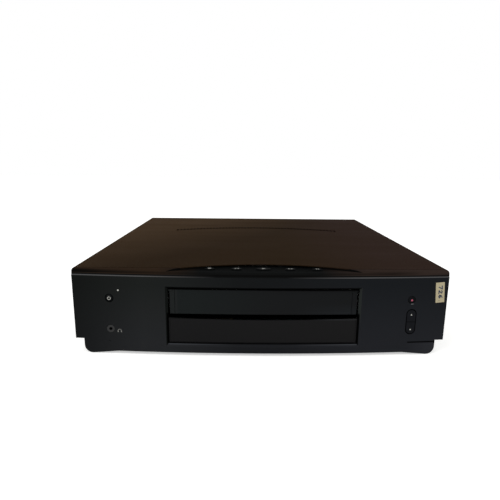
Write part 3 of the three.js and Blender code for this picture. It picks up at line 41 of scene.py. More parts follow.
# View: the camera stands a little left of the middle, about 0.2 m up, and looks slightly down.
# Its lens gives the photograph's angle of view on a 36 mm sensor.
IMAGE_PIXELS = 500
FOCAL_PIXELS = 426.1
SENSOR_WIDTH = 36
STANDPOINT = (-0.01739, -0.59922, 0.19662)
pitch, yaw, roll = math.radians(11.953), math.radians(0.778), math.radians(-0.619)
forward = Vector((math.sin(yaw) * math.cos(pitch), math.cos(yaw) * math.cos(pitch), -math.sin(pitch)))
level = Vector((math.cos(yaw), -math.sin(yaw), 0))
right = math.cos(roll) * level + math.sin(roll) * forward.cross(level).normalized()
camera = bpy.data.objects.new("camera", bpy.data.cameras.new("camera"))
camera.data.sensor_width = SENSOR_WIDTH
camera.data.lens = SENSOR_WIDTH * FOCAL_PIXELS / IMAGE_PIXELS
turned = Matrix((right, right.cross(forward), -forward)).transposed().to_4x4()
camera.matrix_world = Matrix.Translation(STANDPOINT) @ turned
bpy.context.scene.collection.objects.link(camera)
bpy.context.scene.camera = camera
bpy.context.scene.view_settings.view_transform = "Standard"


# Studio: a pale floor under an even sky, with one large soft box above the front left corner and a
# weaker one to the right. Camera, glossy and clear rays see plain white where nothing stands.
def add_node(tree, kind, inputs, **settings):
    """Adds a node with its settings; inputs are nodes or sockets to link, or plain values."""
    made = tree.nodes.new("ShaderNode" + kind)
    for name, value in settings.items():
        setattr(made, name, value)
    for name, value in inputs.items():
        if isinstance(value, bpy.types.Node):
            value = value.outputs[0]
        if isinstance(value, bpy.types.NodeSocket):
            tree.links.new(value, made.inputs[name])
        else:
            made.inputs[name].default_value = value
    return made


def linear(hex_colour):
    """An sRGB hex colour as linear red, green, blue and alpha."""
    parts = [int(hex_colour[i : i + 2], 16) / 255 for i in (1, 3, 5)]
    return (*[p / 12.92 if p <= 0.04045 else ((p + 0.055) / 1.055) ** 2.4 for p in parts], 1)


def seen_share(tree):
    """1 on rays that show the backdrop, 0 on rays that light the object."""
    path = add_node(tree, "LightPath", {})
    either = add_node(tree, "Math", {0: path.outputs["Is Camera Ray"], 1: path.outputs["Is Glossy Ray"]},
                      operation="MAXIMUM")
    return add_node(tree, "Math", {0: either, 1: path.outputs["Is Transmission Ray"]}, operation="MAXIMUM")


SKY_STRENGTH = 0.72
FLOOR_GLOW = 0.5
FLOOR_REACH = 4
FLOOR_DROP = 0.0002
world = bpy.data.worlds.new("soft_sky")
bpy.context.scene.world = world
world.use_nodes = True
sky = world.node_tree
strength = add_node(sky, "MapRange", {"Value": seen_share(sky), "To Min": SKY_STRENGTH, "To Max": 1.0})
sky.nodes["Background"].inputs["Color"].default_value = linear("#ffffff")
sky.links.new(strength.outputs[0], sky.nodes["Background"].inputs["Strength"])

paper = bpy.data.materials.new("pale_floor_paper")
paper.use_nodes = True
floor_tree = paper.node_tree
floor_tree.nodes.clear()
matt = add_node(floor_tree, "BsdfDiffuse", {"Color": linear("#e6e6e4")})
glow = add_node(floor_tree, "Math", {0: seen_share(floor_tree), 1: FLOOR_GLOW}, operation="MULTIPLY")
shine = add_node(floor_tree, "Emission", {"Color": linear("#ffffff"), "Strength": glow})
lit_paper = add_node(floor_tree, "AddShader", {0: matt, 1: shine})
add_node(floor_tree, "OutputMaterial", {"Surface": lit_paper})
floor_mesh = bpy.data.meshes.new("floor")
quarters = ((-1, -1), (1, -1), (1, 1), (-1, 1))
floor_corners = [(x * FLOOR_REACH, y * FLOOR_REACH, -FLOOR_DROP) for x, y in quarters]
floor_mesh.from_pydata(floor_corners, [], [(0, 1, 2, 3)])
floor_mesh.materials.append(paper)
floor = bpy.data.objects.new("floor", floor_mesh)
bpy.context.scene.collection.objects.link(floor)

soft_boxes = (("soft_box_left", (-1.1, -1.0, 1.5), 1.2, 13), ("soft_box_right", (1.4, -0.7, 1.1), 0.8, 5))
for name, place, width, power in soft_boxes:
    lamp = bpy.data.lights.new(name, "AREA")
    lamp.shape = "SQUARE"
    lamp.size = width
    lamp.energy = power
    holder = bpy.data.objects.new(name, lamp)
    holder.location = place
    holder.rotation_euler = Vector(place).to_track_quat("Z", "Y").to_euler()
    bpy.context.scene.collection.objects.link(holder)


# Cover and back panel: bent steel sheet with baked black paint, held to the pan by a screw on each
# side. The paint is satin, with an orange peel and a thin film of dust; its brown is a painted reflection.
MM = 0.001


def per_mm(size):
    """The scale of a pattern whose parts are that many millimetres wide."""
    return 1 / (size * MM)


def new_finish(name, **values):
    """A material with plain shader values, its tree, its shader and the object's own coordinates."""
    material = bpy.data.materials.new(name)
    material.use_nodes = True
    tree = material.node_tree
    shader = tree.nodes["Principled BSDF"]
    for socket, value in values.items():
        shader.inputs[socket.replace("_", " ")].default_value = value
    return material, tree, shader, add_node(tree, "TexCoord", {}).outputs["Object"]


def feed(tree, shader, **sources):
    """Links nodes to the shader's inputs by name."""
    for socket, source in sources.items():
        tree.links.new(source.outputs[0], shader.inputs[socket.replace("_", " ")])


def blend_tones(tree, tone, *layers):
    """Lays colours over a tone in turn, each by its own share."""
    for share, colour in layers:
        over = linear(colour) if isinstance(colour, str) else colour
        tone = add_node(tree, "MixRGB", {"Fac": share, "Color1": tone, "Color2": over})
    return tone


def in_mm(tree, place):
    """The coordinates of a place in millimetres."""
    scaled = add_node(tree, "VectorMath", {0: place, "Scale": 1 / MM}, operation="SCALE")
    return add_node(tree, "SeparateXYZ", {"Vector": scaled}).outputs


def where(tree, *limits):
    """The share where all limits hold: each a share, or a value and where it counts 0 and 1."""
    share = None
    for limit in limits:
        if isinstance(limit, tuple):
            value, none, full = limit
            limit = add_node(tree, "MapRange", {"Value": value, "From Min": none, "From Max": full})
        share = limit if share is None else add_node(tree, "Math", {0: share, 1: limit}, operation="MULTIPLY")
    return share


def distance(tree, value, middle):
    """How far a value is from a middle."""
    off = add_node(tree, "Math", {0: value, 1: middle}, operation="SUBTRACT")
    return add_node(tree, "Math", {0: off}, operation="ABSOLUTE")


def box_mm(name):
    """The low and the high corner of a CAD node's box in millimetres."""
    low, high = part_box(name)
    return low / MM, high / MM


def dress(material, *names):
    """Puts a finish on CAD nodes and rounds the look of their curved walls."""
    for name in names:
        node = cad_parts[name]
        node.data.materials.clear()
        node.data.materials.append(material)
        node.data.attributes.remove(node.data.attributes["custom_normal"])
        node.data.shade_smooth()
        node.modifiers.new("weld", "WELD").merge_threshold = 0.002 * MM
        node.modifiers.new("edges", "EDGE_SPLIT").split_angle = math.radians(40)


SMOOTH_EDGE = 0.35 * MM
cover_paint, tree, shader, place = new_finish("baked_satin_black_paint", Specular_IOR_Level=0.0006)
film = add_node(tree, "TexNoise", {"Vector": place, "Scale": per_mm(130), "Detail": 4})
streak = add_node(tree, "Mapping", {"Vector": place, "Scale": (per_mm(160), per_mm(30), per_mm(40))})
wipe = add_node(tree, "TexNoise", {"Vector": streak, "Scale": 1, "Detail": 4})
# a painted reflection makes the paint paler towards the back left corner and a little redder on the right
to_back_left = add_node(tree, "VectorMath", {0: place, 1: (-0.8, 0.6, 0)}, operation="DOT_PRODUCT")
back_left_reflection = add_node(tree, "MapRange", {"Value": to_back_left.outputs["Value"], "From Max": 170 * MM})
at = in_mm(tree, place)
wipe_share = add_node(tree, "MapRange", {"Value": wipe, "To Max": 0.5})
# single grains of dust are under 0.3 mm, drawn at 1.2 mm so that they show
grains = add_node(tree, "TexNoise", {"Vector": place, "Scale": per_mm(1.2), "Detail": 1})
grain_share = where(tree, (grains, 0.6, 0.75), 0.2)
# the vent slots are cut through the sheet; their raw edges are painted near black as shade, since no light
# reaches them
VENT_REACH, VENT_FRONT, VENT_BACK = 134, 12, 128
top_z = box_mm("top_cover")[1].z
slot_wall_shade = where(
    tree, (at["Z"], top_z - 0.1, top_z - 0.2), (at["Z"], top_z - 3, top_z - 2.5),
    (distance(tree, at["X"], 0.0), VENT_REACH + 1, VENT_REACH),
    (at["Y"], VENT_FRONT - 2, VENT_FRONT), (at["Y"], VENT_BACK + 2, VENT_BACK))
# the brown base tone is a painted reflection of a warm room
tone = blend_tones(tree, linear("#2a1f14"), (film, "#241a10"), (back_left_reflection, "#403122"),
                   (where(tree, (at["X"], 40, 140)), "#2b1f1b"), (wipe_share, "#241b12"),
                   (grain_share, "#54493c"), (slot_wall_shade, "#060403"))
sheen = add_node(tree, "MapRange", {"Value": wipe, "To Min": 0.42, "To Max": 0.6})
# the peel of the paint is under a millimetre wide, drawn at 1.6 mm so that it shows
peel = add_node(tree, "TexNoise", {"Vector": place, "Scale": per_mm(1.6), "Detail": 2})
corner = add_node(tree, "Bevel", {"Radius": SMOOTH_EDGE}, samples=4)
relief = add_node(tree, "Bump", {"Strength": 0.25, "Distance": 0.05 * MM, "Height": peel, "Normal": corner})
feed(tree, shader, Base_Color=tone, Roughness=sheen, Normal=relief)
dress(cover_paint, "top_cover", "rear_panel")

# Pan, deck, frames and screws: pressed and turned steel, zinc plated and driven together with cross
# headed screws. Plating gives a soft grey shine with a spangle, duller where it has aged.
zinc, tree, shader, place = new_finish("zinc_plated_steel", Metallic=0.9)
spangle = add_node(tree, "TexVoronoi", {"Vector": place, "Scale": per_mm(3)})
haze = add_node(tree, "TexNoise", {"Vector": place, "Scale": per_mm(18), "Detail": 5})
tone = blend_tones(tree, linear("#9fa2a3"), (spangle, "#8a8d8e"), (haze, "#a8a79f"))
rough = add_node(tree, "MapRange", {"Value": haze, "To Min": 0.3, "To Max": 0.52})
corner = add_node(tree, "Bevel", {"Radius": 0.2 * MM}, samples=4)
relief = add_node(tree, "Bump", {"Strength": 0.2, "Distance": 0.03 * MM, "Height": spangle, "Normal": corner})
feed(tree, shader, Base_Color=tone, Roughness=rough, Normal=relief)
dress(zinc, "cover_screw_left", "cover_screw_right", "bottom_pan", "deck_plate", "side_frame_left",
      "side_frame_right", "loading_carriage", "cassette_holder", "pinch_arm", "idler_arm", "loading_motor",
      "tuner_can", "flap_spring")


def seat(x, y, z, turn=(0, 0, 0)):
    """A place in millimetres from the recorder's middle and the ground, turned in degrees."""
    turned = Euler([math.radians(a) for a in turn]).to_matrix().to_4x4()
    return Matrix.Translation(Vector((x, y, z)) * MM) @ turned @ Matrix.Scale(MM, 4)


def polar(radius, angle):
    """A point at that radius, turned by an angle in radians."""
    return radius * math.cos(angle), radius * math.sin(angle)


def circle(radius, steps=24):
    """The outline of a disc."""
    return [polar(radius, i * math.tau / steps) for i in range(steps)]


def shrunk(outline, inset):
    """An outline drawn in by a distance, with mitred corners."""
    moved = []
    for i, point in enumerate(outline):
        here, before, after = Vector(point), Vector(outline[i - 1]), Vector(outline[(i + 1) % len(outline)])
        one, two = (here - before).normalized(), (after - here).normalized()
        # the limit keeps the mitre of a sharp corner short
        normal = Vector((-one.y - two.y, one.x + two.x)) / max(1 + one.dot(two), 0.2)
        moved.append(here + normal * inset)
    return moved


def add_solid(mesh, outline, levels, at):
    """Closed solid over an outline, through (height, inset) levels from its base to its top."""
    rings = []
    for height, inset in levels:
        rings.append([mesh.verts.new(at @ Vector((p[0], p[1], height))) for p in shrunk(outline, inset)])
    for low, high in zip(rings, rings[1:]):
        for i in range(len(low)):
            mesh.faces.new((low[i - 1], low[i], high[i], high[i - 1]))
    mesh.faces.new(rings[0][::-1])
    mesh.faces.new(rings[-1])


def add_piece(name, mesh, material, body):
    """Puts a mesh in the scene as one piece that rides on a body, with the finish it is given."""
    bmesh.ops.recalc_face_normals(mesh, faces=mesh.faces)
    data = bpy.data.meshes.new(name)
    mesh.to_mesh(data)
    mesh.free()
    data.materials.append(material)
    data.shade_smooth()
    data.set_sharp_from_angle(angle=math.radians(35))
    piece = bpy.data.objects.new(name, data)
    bpy.context.scene.collection.objects.link(piece)
    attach(piece, body)


def rectangle(width, height):
    """The outline of a rectangle about its middle."""
    return [(across * width / 2, up * height / 2) for across, up in quarters]


SCREW_HEAD = [(-0.4, 0), (0.6, 0), (1.2, 0.5), (1.4, 1.1)]
SCREW_RADIUS = 2.6
UNDER = (180, 0, 0)
BACK = (90, 0, 180)
FRONT = (90, 0, 0)
back_y = box_mm("rear_panel")[1].y
pan_z = box_mm("bottom_pan")[0].z
screws = bmesh.new()
panel_screws = [(-176, 70), (-100, 78), (-20, 78), (60, 78), (120, 78), (176, 70), (-172, 44), (172, 40)]
for x, z in panel_screws + [(x, 30) for x in (-98, -15, 67, 124)]:
    add_solid(screws, circle(SCREW_RADIUS), SCREW_HEAD, seat(x, back_y, z, BACK))
add_piece("rear_panel_screws", screws, zinc, "cabinet")
screws = bmesh.new()
for x in (-165, 0, 165):
    for y in (-160, -20, 120, 165):
        add_solid(screws, circle(SCREW_RADIUS), SCREW_HEAD, seat(x, y, pan_z, UNDER))
add_piece("pan_screws", screws, zinc, "cabinet")

# Feet: moulded rubber discs pressed under the pan, with a ring round a sunk middle. The pinch roller
# and the belt are rubber too. It is matt and dark grey, with dust in its pores.
rubber, tree, shader, place = new_finish("moulded_rubber", Specular_IOR_Level=0.2)
pores = add_node(tree, "TexNoise", {"Vector": place, "Scale": per_mm(0.8), "Detail": 3})
scuff = add_node(tree, "TexNoise", {"Vector": place, "Scale": per_mm(7), "Detail": 4})
tone = blend_tones(tree, linear("#141414"), (scuff, "#2a2928"))
rough = add_node(tree, "MapRange", {"Value": pores, "To Min": 0.75, "To Max": 0.95})
relief = add_node(tree, "Bump", {"Strength": 0.4, "Distance": 0.05 * MM, "Height": pores})
feed(tree, shader, Base_Color=tone, Roughness=rough, Normal=relief)
dress(rubber, "foot_front_left", "foot_front_right", "foot_rear_left", "foot_rear_right", "pinch_roller",
      "drive_belt")

# Front: one ABS moulding with a spark-eroded texture, bowed 8.8 mm, which clips to the pan and the
# cover. The texture breaks up the light. Its edges are painted paler, partly as handling wear and
# partly as a painted highlight, and its rounded shoulder has a brown painted reflection as on the cover.
abs_black, tree, shader, place = new_finish("textured_black_abs", Specular_IOR_Level=0.0015)
shade = add_node(tree, "TexNoise", {"Vector": place, "Scale": per_mm(70), "Detail": 3})
flat = add_node(tree, "NewGeometry", {}).outputs["Normal"]
facing = add_node(tree, "SeparateXYZ", {"Vector": flat}).outputs
at = in_mm(tree, place)
right_share = where(tree, (at["X"], -110, 110))
high_tone = blend_tones(tree, linear("#1f2120"), (right_share, "#1b1d20"))
low_tone = blend_tones(tree, linear("#292a2c"), (right_share, "#26272b"))
from_middle = distance(tree, at["X"], 0.0)
mould_share = where(tree, (shade, 0.3, 0.7), 0.25)
body_tone = blend_tones(
    # low_tone makes the front paler towards its bottom, a painted reflection of the pale floor
    tree, high_tone, (where(tree, (at["Z"], 75, 8)), low_tone),
    (where(tree, (from_middle, 90, 20), 0.45), "#0f0f11"), (mould_share, "#1d1f21"),
    # towards the left end the front is darkened as a painted shadow
    (where(tree, (at["X"], -120, -190), 0.6), "#0c0d0c"))
corner = add_node(tree, "Bevel", {"Radius": 0.5 * MM}, samples=6)
turned_away = add_node(tree, "VectorMath", {0: corner, 1: flat}, operation="DOT_PRODUCT")
# the edges are painted paler, partly as handling wear and partly as a painted highlight
edge_highlight_and_wear = where(tree, (turned_away.outputs["Value"], 0.99, 0.8), 0.5)
# the frame round the flap and the window is bevelled, and each side is painted as light falls on it:
# painted highlight on the lower and right bevels, painted shade on the upper and left ones
WINDOW_X = 2.4
FRAME_REACH, FRAME_TOP, FRAME_BASE = 100, 80, 9.5
side_reach = distance(tree, at["X"], WINDOW_X)
framed = where(tree, (side_reach, FRAME_REACH + 0.2, FRAME_REACH), (at["Z"], FRAME_TOP, FRAME_TOP - 1),
               (at["Z"], FRAME_BASE, FRAME_BASE + 0.5))
low_bevel = where(tree, framed, (facing["Z"], 0.4, 0.7))
high_bevel = where(tree, framed, (facing["Z"], -0.3, -0.6))
left_bevel = where(tree, framed, (facing["X"], 0.4, 0.6))
right_bevel = where(tree, framed, (facing["X"], -0.4, -0.6))
side_bevels = add_node(tree, "Math", {0: left_bevel, 1: right_bevel}, operation="MAXIMUM")
beside_glass = where(tree, (at["Z"], 46, 44), (side_reach, 97.6, 97.4), side_bevels)
FRAME_DEPTH = 4.9
face_y = box_mm("front_bezel")[0].y
frame_back = face_y + FRAME_DEPTH
inside = where(tree, framed, (side_reach, 96.8, 96.6), (at["Y"], frame_back - 0.2, frame_back))


def rim_of(name, radius, straight=0.0):
    """The front's rim round a button's hole, whose sides run straight above and below its middle."""
    low, high = box_mm(name)
    middle = (low + high) / 2
    off_level = distance(tree, at["Z"], middle.z)
    past_straight = add_node(tree, "Math", {0: off_level, 1: straight}, operation="SUBTRACT")
    off_end = add_node(tree, "Math", {0: past_straight, 1: 0.0}, operation="MAXIMUM")
    off = add_node(tree, "CombineXYZ", {"X": distance(tree, at["X"], middle.x), "Y": off_end})
    away = add_node(tree, "VectorMath", {0: off}, operation="LENGTH")
    return where(tree, (away.outputs["Value"], radius + 0.1, radius))


# the rings of the front round the rocker and the two buttons are painted black as shade in their gaps
rims = [rim_of("channel_rocker", 5.3, 8.3), rim_of("record_button", 4.0), rim_of("standby_button", 4.35)]
to_ends = distance(tree, at["X"], -10.0)
# a pale line along the front's top edge, fainter towards the middle, is a painted highlight, and a dark line
# just above it is painted shade in the groove there
edge_highlight_line = where(tree, (distance(tree, at["Z"], 83.0), 0.52, 0.42), (to_ends, 35, 110))
top_groove_shade = where(tree, (distance(tree, at["Z"], 84.15), 0.7, 0.6))
lip = where(tree, (distance(tree, at["Z"], 84.4), 1.0, 0.9), (from_middle, 75, 45))
# the groove low on the right is painted black as its shade
groove = where(tree, (distance(tree, at["Z"], 13.8), 0.75, 0.65), (at["X"], 151.4, 151.8))
# the foot below it is painted paler as a painted highlight on its bulge
right_foot_highlight = where(tree, (at["Z"], 13, 12), (at["X"], 150, 172))
tone = blend_tones(tree, body_tone, (edge_highlight_and_wear, "#3a3c3e"), (right_foot_highlight, "#2b2c30"))
# the shelf is darker towards the buttons, and the shoulder to both sides of it has a brown painted
# reflection, as on the cover
shoulder = where(tree, (at["Z"], FRAME_TOP, FRAME_TOP + 1), (facing["Z"], 0.1, 0.4))
top_edge = where(tree, (at["Z"], 85, 86), (facing["Y"], -0.6, -0.95), (at["X"], 165, 130))
tone = blend_tones(
    tree, tone, (shoulder, "#111212"), (where(tree, shoulder, (at["Y"], -189, -184)), "#090a0a"),
    (where(tree, shoulder, (at["X"], -62, -105)), "#291f17"),
    (where(tree, shoulder, (at["X"], 58, 106)), "#2c231f"),
    (where(tree, shoulder, (at["X"], 135, 180)), "#312824"),
    (top_edge, "#0b0a09"), (top_groove_shade, "#121212"), (lip, "#0b0b0b"), (edge_highlight_line, "#4a4a4b"))
# painted shade on the upper and left bevels, in the gaps above the flap, above the low bevel and beside the
# glass, and in the hollow behind the frame; painted highlight on the right bevel and a band of the low one
tone = blend_tones(
    tree, tone, (high_bevel, "#151617"), (where(tree, high_bevel, (at["Z"], 72.1, 71.7)), "#040404"),
    (where(tree, low_bevel, (at["Z"], 11, 11.5), (side_reach, 30, 95)), "#3a3c40"),
    (where(tree, low_bevel, (at["Z"], 12, 12.2)), "#060606"),
    (where(tree, right_bevel, (at["Z"], 32, 44)), "#292c2b"), (left_bevel, "#151716"),
    (beside_glass, "#040404"), (groove, "#060606"), (inside, "#030303"), *((rim, "#040404") for rim in rims))
# the eroded grain is 0.1 to 0.2 mm, drawn at 0.7 mm so that it shows
grain = add_node(tree, "TexNoise", {"Vector": place, "Scale": per_mm(0.7), "Detail": 3})
rough = add_node(tree, "MapRange", {"Value": shade, "To Min": 0.4, "To Max": 0.52})
relief = add_node(tree, "Bump", {"Strength": 0.3, "Distance": 0.04 * MM, "Height": grain, "Normal": corner})
feed(tree, shader, Base_Color=tone, Roughness=rough, Normal=relief)
dress(abs_black, "front_bezel")

# Cassette flap: its own moulding in the same plastic, smoother and a little greener than the front.
# It is paler towards its left end and its lower edge.
flap_abs, tree, shader, place = new_finish("smooth_black_abs", Specular_IOR_Level=0.01)
at = in_mm(tree, place)
shade = add_node(tree, "TexNoise", {"Vector": place, "Scale": per_mm(40), "Detail": 3})
flap_end_shade = where(tree, (distance(tree, at["X"], WINDOW_X), 95.2, 95.3))
tone = blend_tones(
    tree, linear("#1d2121"), (where(tree, (at["X"], -70, 10)), "#1a1b1c"),
    (where(tree, (shade, 0.3, 0.7), 0.5), "#1c1d1e"), (where(tree, (at["X"], -84, -84.5), 0.8), "#222424"),
    (where(tree, (at["X"], 30, 80), (at["Z"], 56, 46)), "#1f2123"),
    # the top of the flap and the lugs beyond its ends are painted dark as shade under the frame's edges
    (where(tree, (at["X"], 0, 60), (at["Z"], 67, 69)), "#141516"),
    (flap_end_shade, "#030303"), (where(tree, (at["Z"], 69.2, 69.4)), "#060606"))
grain = add_node(tree, "TexNoise", {"Vector": place, "Scale": per_mm(0.5), "Detail": 2})
rough = add_node(tree, "MapRange", {"Value": shade, "To Min": 0.34, "To Max": 0.45})
corner = add_node(tree, "Bevel", {"Radius": SMOOTH_EDGE}, samples=4)
relief = add_node(tree, "Bump", {"Strength": 0.2, "Distance": 0.03 * MM, "Height": grain, "Normal": corner})
feed(tree, shader, Base_Color=tone, Roughness=rough, Normal=relief)
dress(flap_abs, "cassette_flap")

# Display window: polished smoked acrylic under the flap. It is nearly black with a sharp reflection,
# shows fine wiping scratches, and has a painted highlight on its sawn top edge towards the right.
acrylic, tree, shader, place = new_finish("polished_smoked_acrylic", Specular_IOR_Level=0.07, IOR=1.49)
at = in_mm(tree, place)
depth = add_node(tree, "TexNoise", {"Vector": place, "Scale": per_mm(80), "Detail": 2})
sawn_edge_highlight = where(tree, (distance(tree, at["Z"], 38.4), 0.55, 0.45), (at["X"], 50, 80))
tone = blend_tones(tree, linear("#0e0e0f"), (depth, "#121112"),
                   # above its top edge the window is painted black as shade in the gap under the flap
                   (where(tree, (at["Z"], 38.5, 38.7)), "#040404"), (sawn_edge_highlight, "#232426"))
lines = add_node(tree, "Mapping", {"Vector": place, "Scale": (per_mm(30), per_mm(2), per_mm(0.6))})
scratch = add_node(tree, "TexNoise", {"Vector": lines, "Scale": 1, "Detail": 3})
scratched = where(tree, (scratch, 0.55, 0.75))
rough = add_node(tree, "MapRange", {"Value": scratched, "To Min": 0.07, "To Max": 0.2})
corner = add_node(tree, "Bevel", {"Radius": SMOOTH_EDGE}, samples=4)
feed(tree, shader, Base_Color=tone, Roughness=rough, Normal=corner)
dress(acrylic, "display_window")

# Buttons and rocker: satin black caps moulded apart from the front, each with a printed sign. Fingers
# have polished their tops, which are darker with an uneven shine, and have worn the print grey. The
# big capacitor's sleeve is as satin and as black.
cap_plastic, tree, shader, place = new_finish("satin_button_plastic", Specular_IOR_Level=0.004)
touch = add_node(tree, "TexNoise", {"Vector": place, "Scale": per_mm(4), "Detail": 3})
polished = where(tree, (in_mm(tree, place)["Z"], 86, 87), 0.8)
tone = blend_tones(tree, linear("#0e0f10"), (touch, "#17181a"), (polished, "#0a0b0b"))
rough = add_node(tree, "MapRange", {"Value": touch, "To Min": 0.26, "To Max": 0.42})
corner = add_node(tree, "Bevel", {"Radius": 0.3 * MM}, samples=4)
feed(tree, shader, Base_Color=tone, Roughness=rough, Normal=corner)
dress(cap_plastic, "stop_button", "rewind_button", "play_button", "forward_button", "pause_button",
      "standby_button", "record_button", "capacitor")

rocker_plastic, tree, shader, place = new_finish("satin_rocker_plastic", Specular_IOR_Level=0.004)
touch = add_node(tree, "TexNoise", {"Vector": place, "Scale": per_mm(3), "Detail": 3})
waist = where(tree, (distance(tree, in_mm(tree, place)["Z"], 36.2), 0.55, 0.45))
tone = blend_tones(tree, linear("#16171a"), (touch, "#1d1e21"), (waist, "#101113"))
rough = add_node(tree, "MapRange", {"Value": touch, "To Min": 0.28, "To Max": 0.42})
corner = add_node(tree, "Bevel", {"Radius": 0.4 * MM}, samples=4)
feed(tree, shader, Base_Color=tone, Roughness=rough, Normal=corner)
dress(rocker_plastic, "channel_rocker")

ink_tones = {
    "white_screen_ink": ("#a3a39c", "#bdbdb6"),
    "worn_white_screen_ink": ("#6a6a66", "#85857f"),
    "faded_screen_ink": ("#3c3d3f", "#4b4c4e"),
    "red_screen_ink": ("#8e2f48", "#b04c66"),
}
inks = {}
for name, shades in ink_tones.items():
    inks[name], tree, shader, place = new_finish(name, Roughness=0.6)
    wear = add_node(tree, "TexNoise", {"Vector": place, "Scale": per_mm(0.6), "Detail": 3})
    tone = blend_tones(tree, linear(shades[0]), (wear, shades[1]))
    relief = add_node(tree, "Bump", {"Strength": 0.2, "Distance": 0.01 * MM, "Height": wear})
    feed(tree, shader, Base_Color=tone, Normal=relief)
white_ink, worn_ink, faded_ink, red_ink = inks.values()

# a printed layer reaches a little into its face and a little out of it
INK = [(-0.02, 0), (0.06, 0)]
ARC_STEPS = 16


def pointer(size, turn=0):
    """The outline of a triangle that points along +X, turned in degrees."""
    corners = [(size * 0.6, 0), (-size * 0.4, size / 2), (-size * 0.4, -size / 2)]
    turned = Matrix.Rotation(math.radians(turn), 2)
    return [tuple(turned @ Vector(point)) for point in corners]


def band(radius, width, start, end):
    """The outline of an arc drawn with a pen of that width."""
    angles = [math.radians(start + (end - start) * i / ARC_STEPS) for i in range(ARC_STEPS + 1)]
    outer = [polar(radius + width / 2, angle) for angle in angles]
    inner = [polar(radius - width / 2, angle) for angle in reversed(angles)]
    return outer + inner


def shifted(outline, x, y=0):
    """An outline moved to another place."""
    return [(a + x, b + y) for a, b in outline]


def add_sign(name, outlines, at, ink, body):
    """Prints outlines as one thin layer of ink."""
    sign = bmesh.new()
    for outline in outlines:
        add_solid(sign, outline, INK, at)
    add_piece(name, sign, ink, body)


SIGN = 3.2
HALF_SIGN = 2.5
HALF_STEP = 1.4
key_signs = {
    "stop": [rectangle(SIGN, SIGN)],
    "rewind": [shifted(pointer(HALF_SIGN, 180), reach) for reach in (HALF_STEP, -HALF_STEP)],
    "play": [pointer(SIGN * 1.2)],
    "forward": [shifted(pointer(HALF_SIGN), reach) for reach in (HALF_STEP, -HALF_STEP)],
    "pause": [shifted(rectangle(1, SIGN), 1), shifted(rectangle(1, SIGN), -1)],
}
for key, outlines in key_signs.items():
    low, high = box_mm(key + "_button")
    middle = (low + high) / 2
    on_top = seat(middle.x, middle.y, high.z)
    add_sign(key + "_sign", outlines, on_top, worn_ink, key + "_key")

power_sign = [band(1.5, 0.5, 125, 415), shifted(rectangle(0.5, 1.8), 0, 1.3)]
disc_sign = [circle(1.05)]
SUNK_PRINT = 0.03
for key, outlines, lift, ink in (("record", disc_sign, -0.3, red_ink), ("standby", power_sign, 0, white_ink)):
    low, high = box_mm(key + "_button")
    middle = (low + high) / 2
    on_face = seat(middle.x, low.y + SUNK_PRINT, middle.z + lift, FRONT)
    add_sign(key + "_sign", outlines, on_face, ink, key + "_key")

low, high = box_mm("channel_rocker")
middle = (low + high) / 2
arrows = [shifted(pointer(1.7, turn), 0, lift) for lift, turn in ((7.6, 90), (-8.5, 270))]
on_rocker = seat(middle.x, low.y, middle.z, FRONT)
add_sign("rocker_signs", arrows, on_rocker, white_ink, "rocker")

BOW = 8.8
HALF_WIDTH = 190


def on_bezel(x, z, tilt=0):
    """A place on the bowed front that faces along its normal, tilted in the face."""
    lean = math.atan(2 * BOW * x / HALF_WIDTH ** 2)
    turn = Euler((0, lean, math.radians(tilt))).to_matrix().to_4x4()
    return seat(x, face_y + BOW * (x / HALF_WIDTH) ** 2, z, FRONT) @ turn


ear_cups = [shifted(rectangle(0.9, 1.7), side * 1.7, -0.6) for side in (-1, 1)]
headphones = [band(1.7, 0.45, 0, 180), *ear_cups]
add_sign("headphone_sign", headphones, on_bezel(-143.5, 25), worn_ink, "cabinet")
add_sign("standby_mark", [circle(0.9)], on_bezel(-143.2, 68), white_ink, "cabinet")
add_sign("record_mark", [rectangle(2.6, 1)], on_bezel(153.4, 55.2), faded_ink, "cabinet")

# Sticker: a strip of cream paper with a handwritten number, stuck upright beside the controls. The
# paper is matt and slightly yellowed.
sticker_paper, tree, shader, place = new_finish("yellowed_label_paper", Specular_IOR_Level=0.1)
fibre = add_node(tree, "TexNoise", {"Vector": place, "Scale": per_mm(1.2), "Detail": 5})
age = add_node(tree, "TexNoise", {"Vector": place, "Scale": per_mm(9), "Detail": 3})
tone = blend_tones(tree, linear("#bbb090"), (age, "#a89e82"), (fibre, "#b2a88b"))
rough = add_node(tree, "MapRange", {"Value": fibre, "To Min": 0.7, "To Max": 0.9})
relief = add_node(tree, "Bump", {"Strength": 0.3, "Distance": 0.03 * MM, "Height": fibre})
feed(tree, shader, Base_Color=tone, Roughness=rough, Normal=relief)
STICKER_WIDTH, STICKER_HEIGHT, STICKER_TILT = 9.2, 21.2, 4.2
PAPER_TOP = 0.14
on_sticker = on_bezel(181.6, 66.95, STICKER_TILT)
strip = bmesh.new()
add_solid(strip, rectangle(STICKER_WIDTH, STICKER_HEIGHT), [(-0.12, 0), (PAPER_TOP, 0)], on_sticker)
add_piece("number_sticker", strip, sticker_paper, "cabinet")

pen_ink, tree, shader, place = new_finish("ballpoint_ink", Roughness=0.5)
flow = add_node(tree, "TexNoise", {"Vector": place, "Scale": per_mm(0.8), "Detail": 2})
tone = blend_tones(tree, linear("#1b2231"), (flow, "#2f3a50"))
feed(tree, shader, Base_Color=tone)


PEN_WIDTH = 1.1


def add_stroke(mesh, points, at):
    """A pen stroke through points, as one short bar for each step of the line."""
    for a, b in zip(points, points[1:]):
        run = Vector(b) - Vector(a)
        middle = (Vector(a) + Vector(b)) / 2
        turn = Matrix.Rotation(math.atan2(run.y, run.x), 4, "Z")
        along = at @ Matrix.Translation((*middle, 0)) @ turn
        add_solid(mesh, rectangle(run.length + PEN_WIDTH / 2, PEN_WIDTH), INK, along)


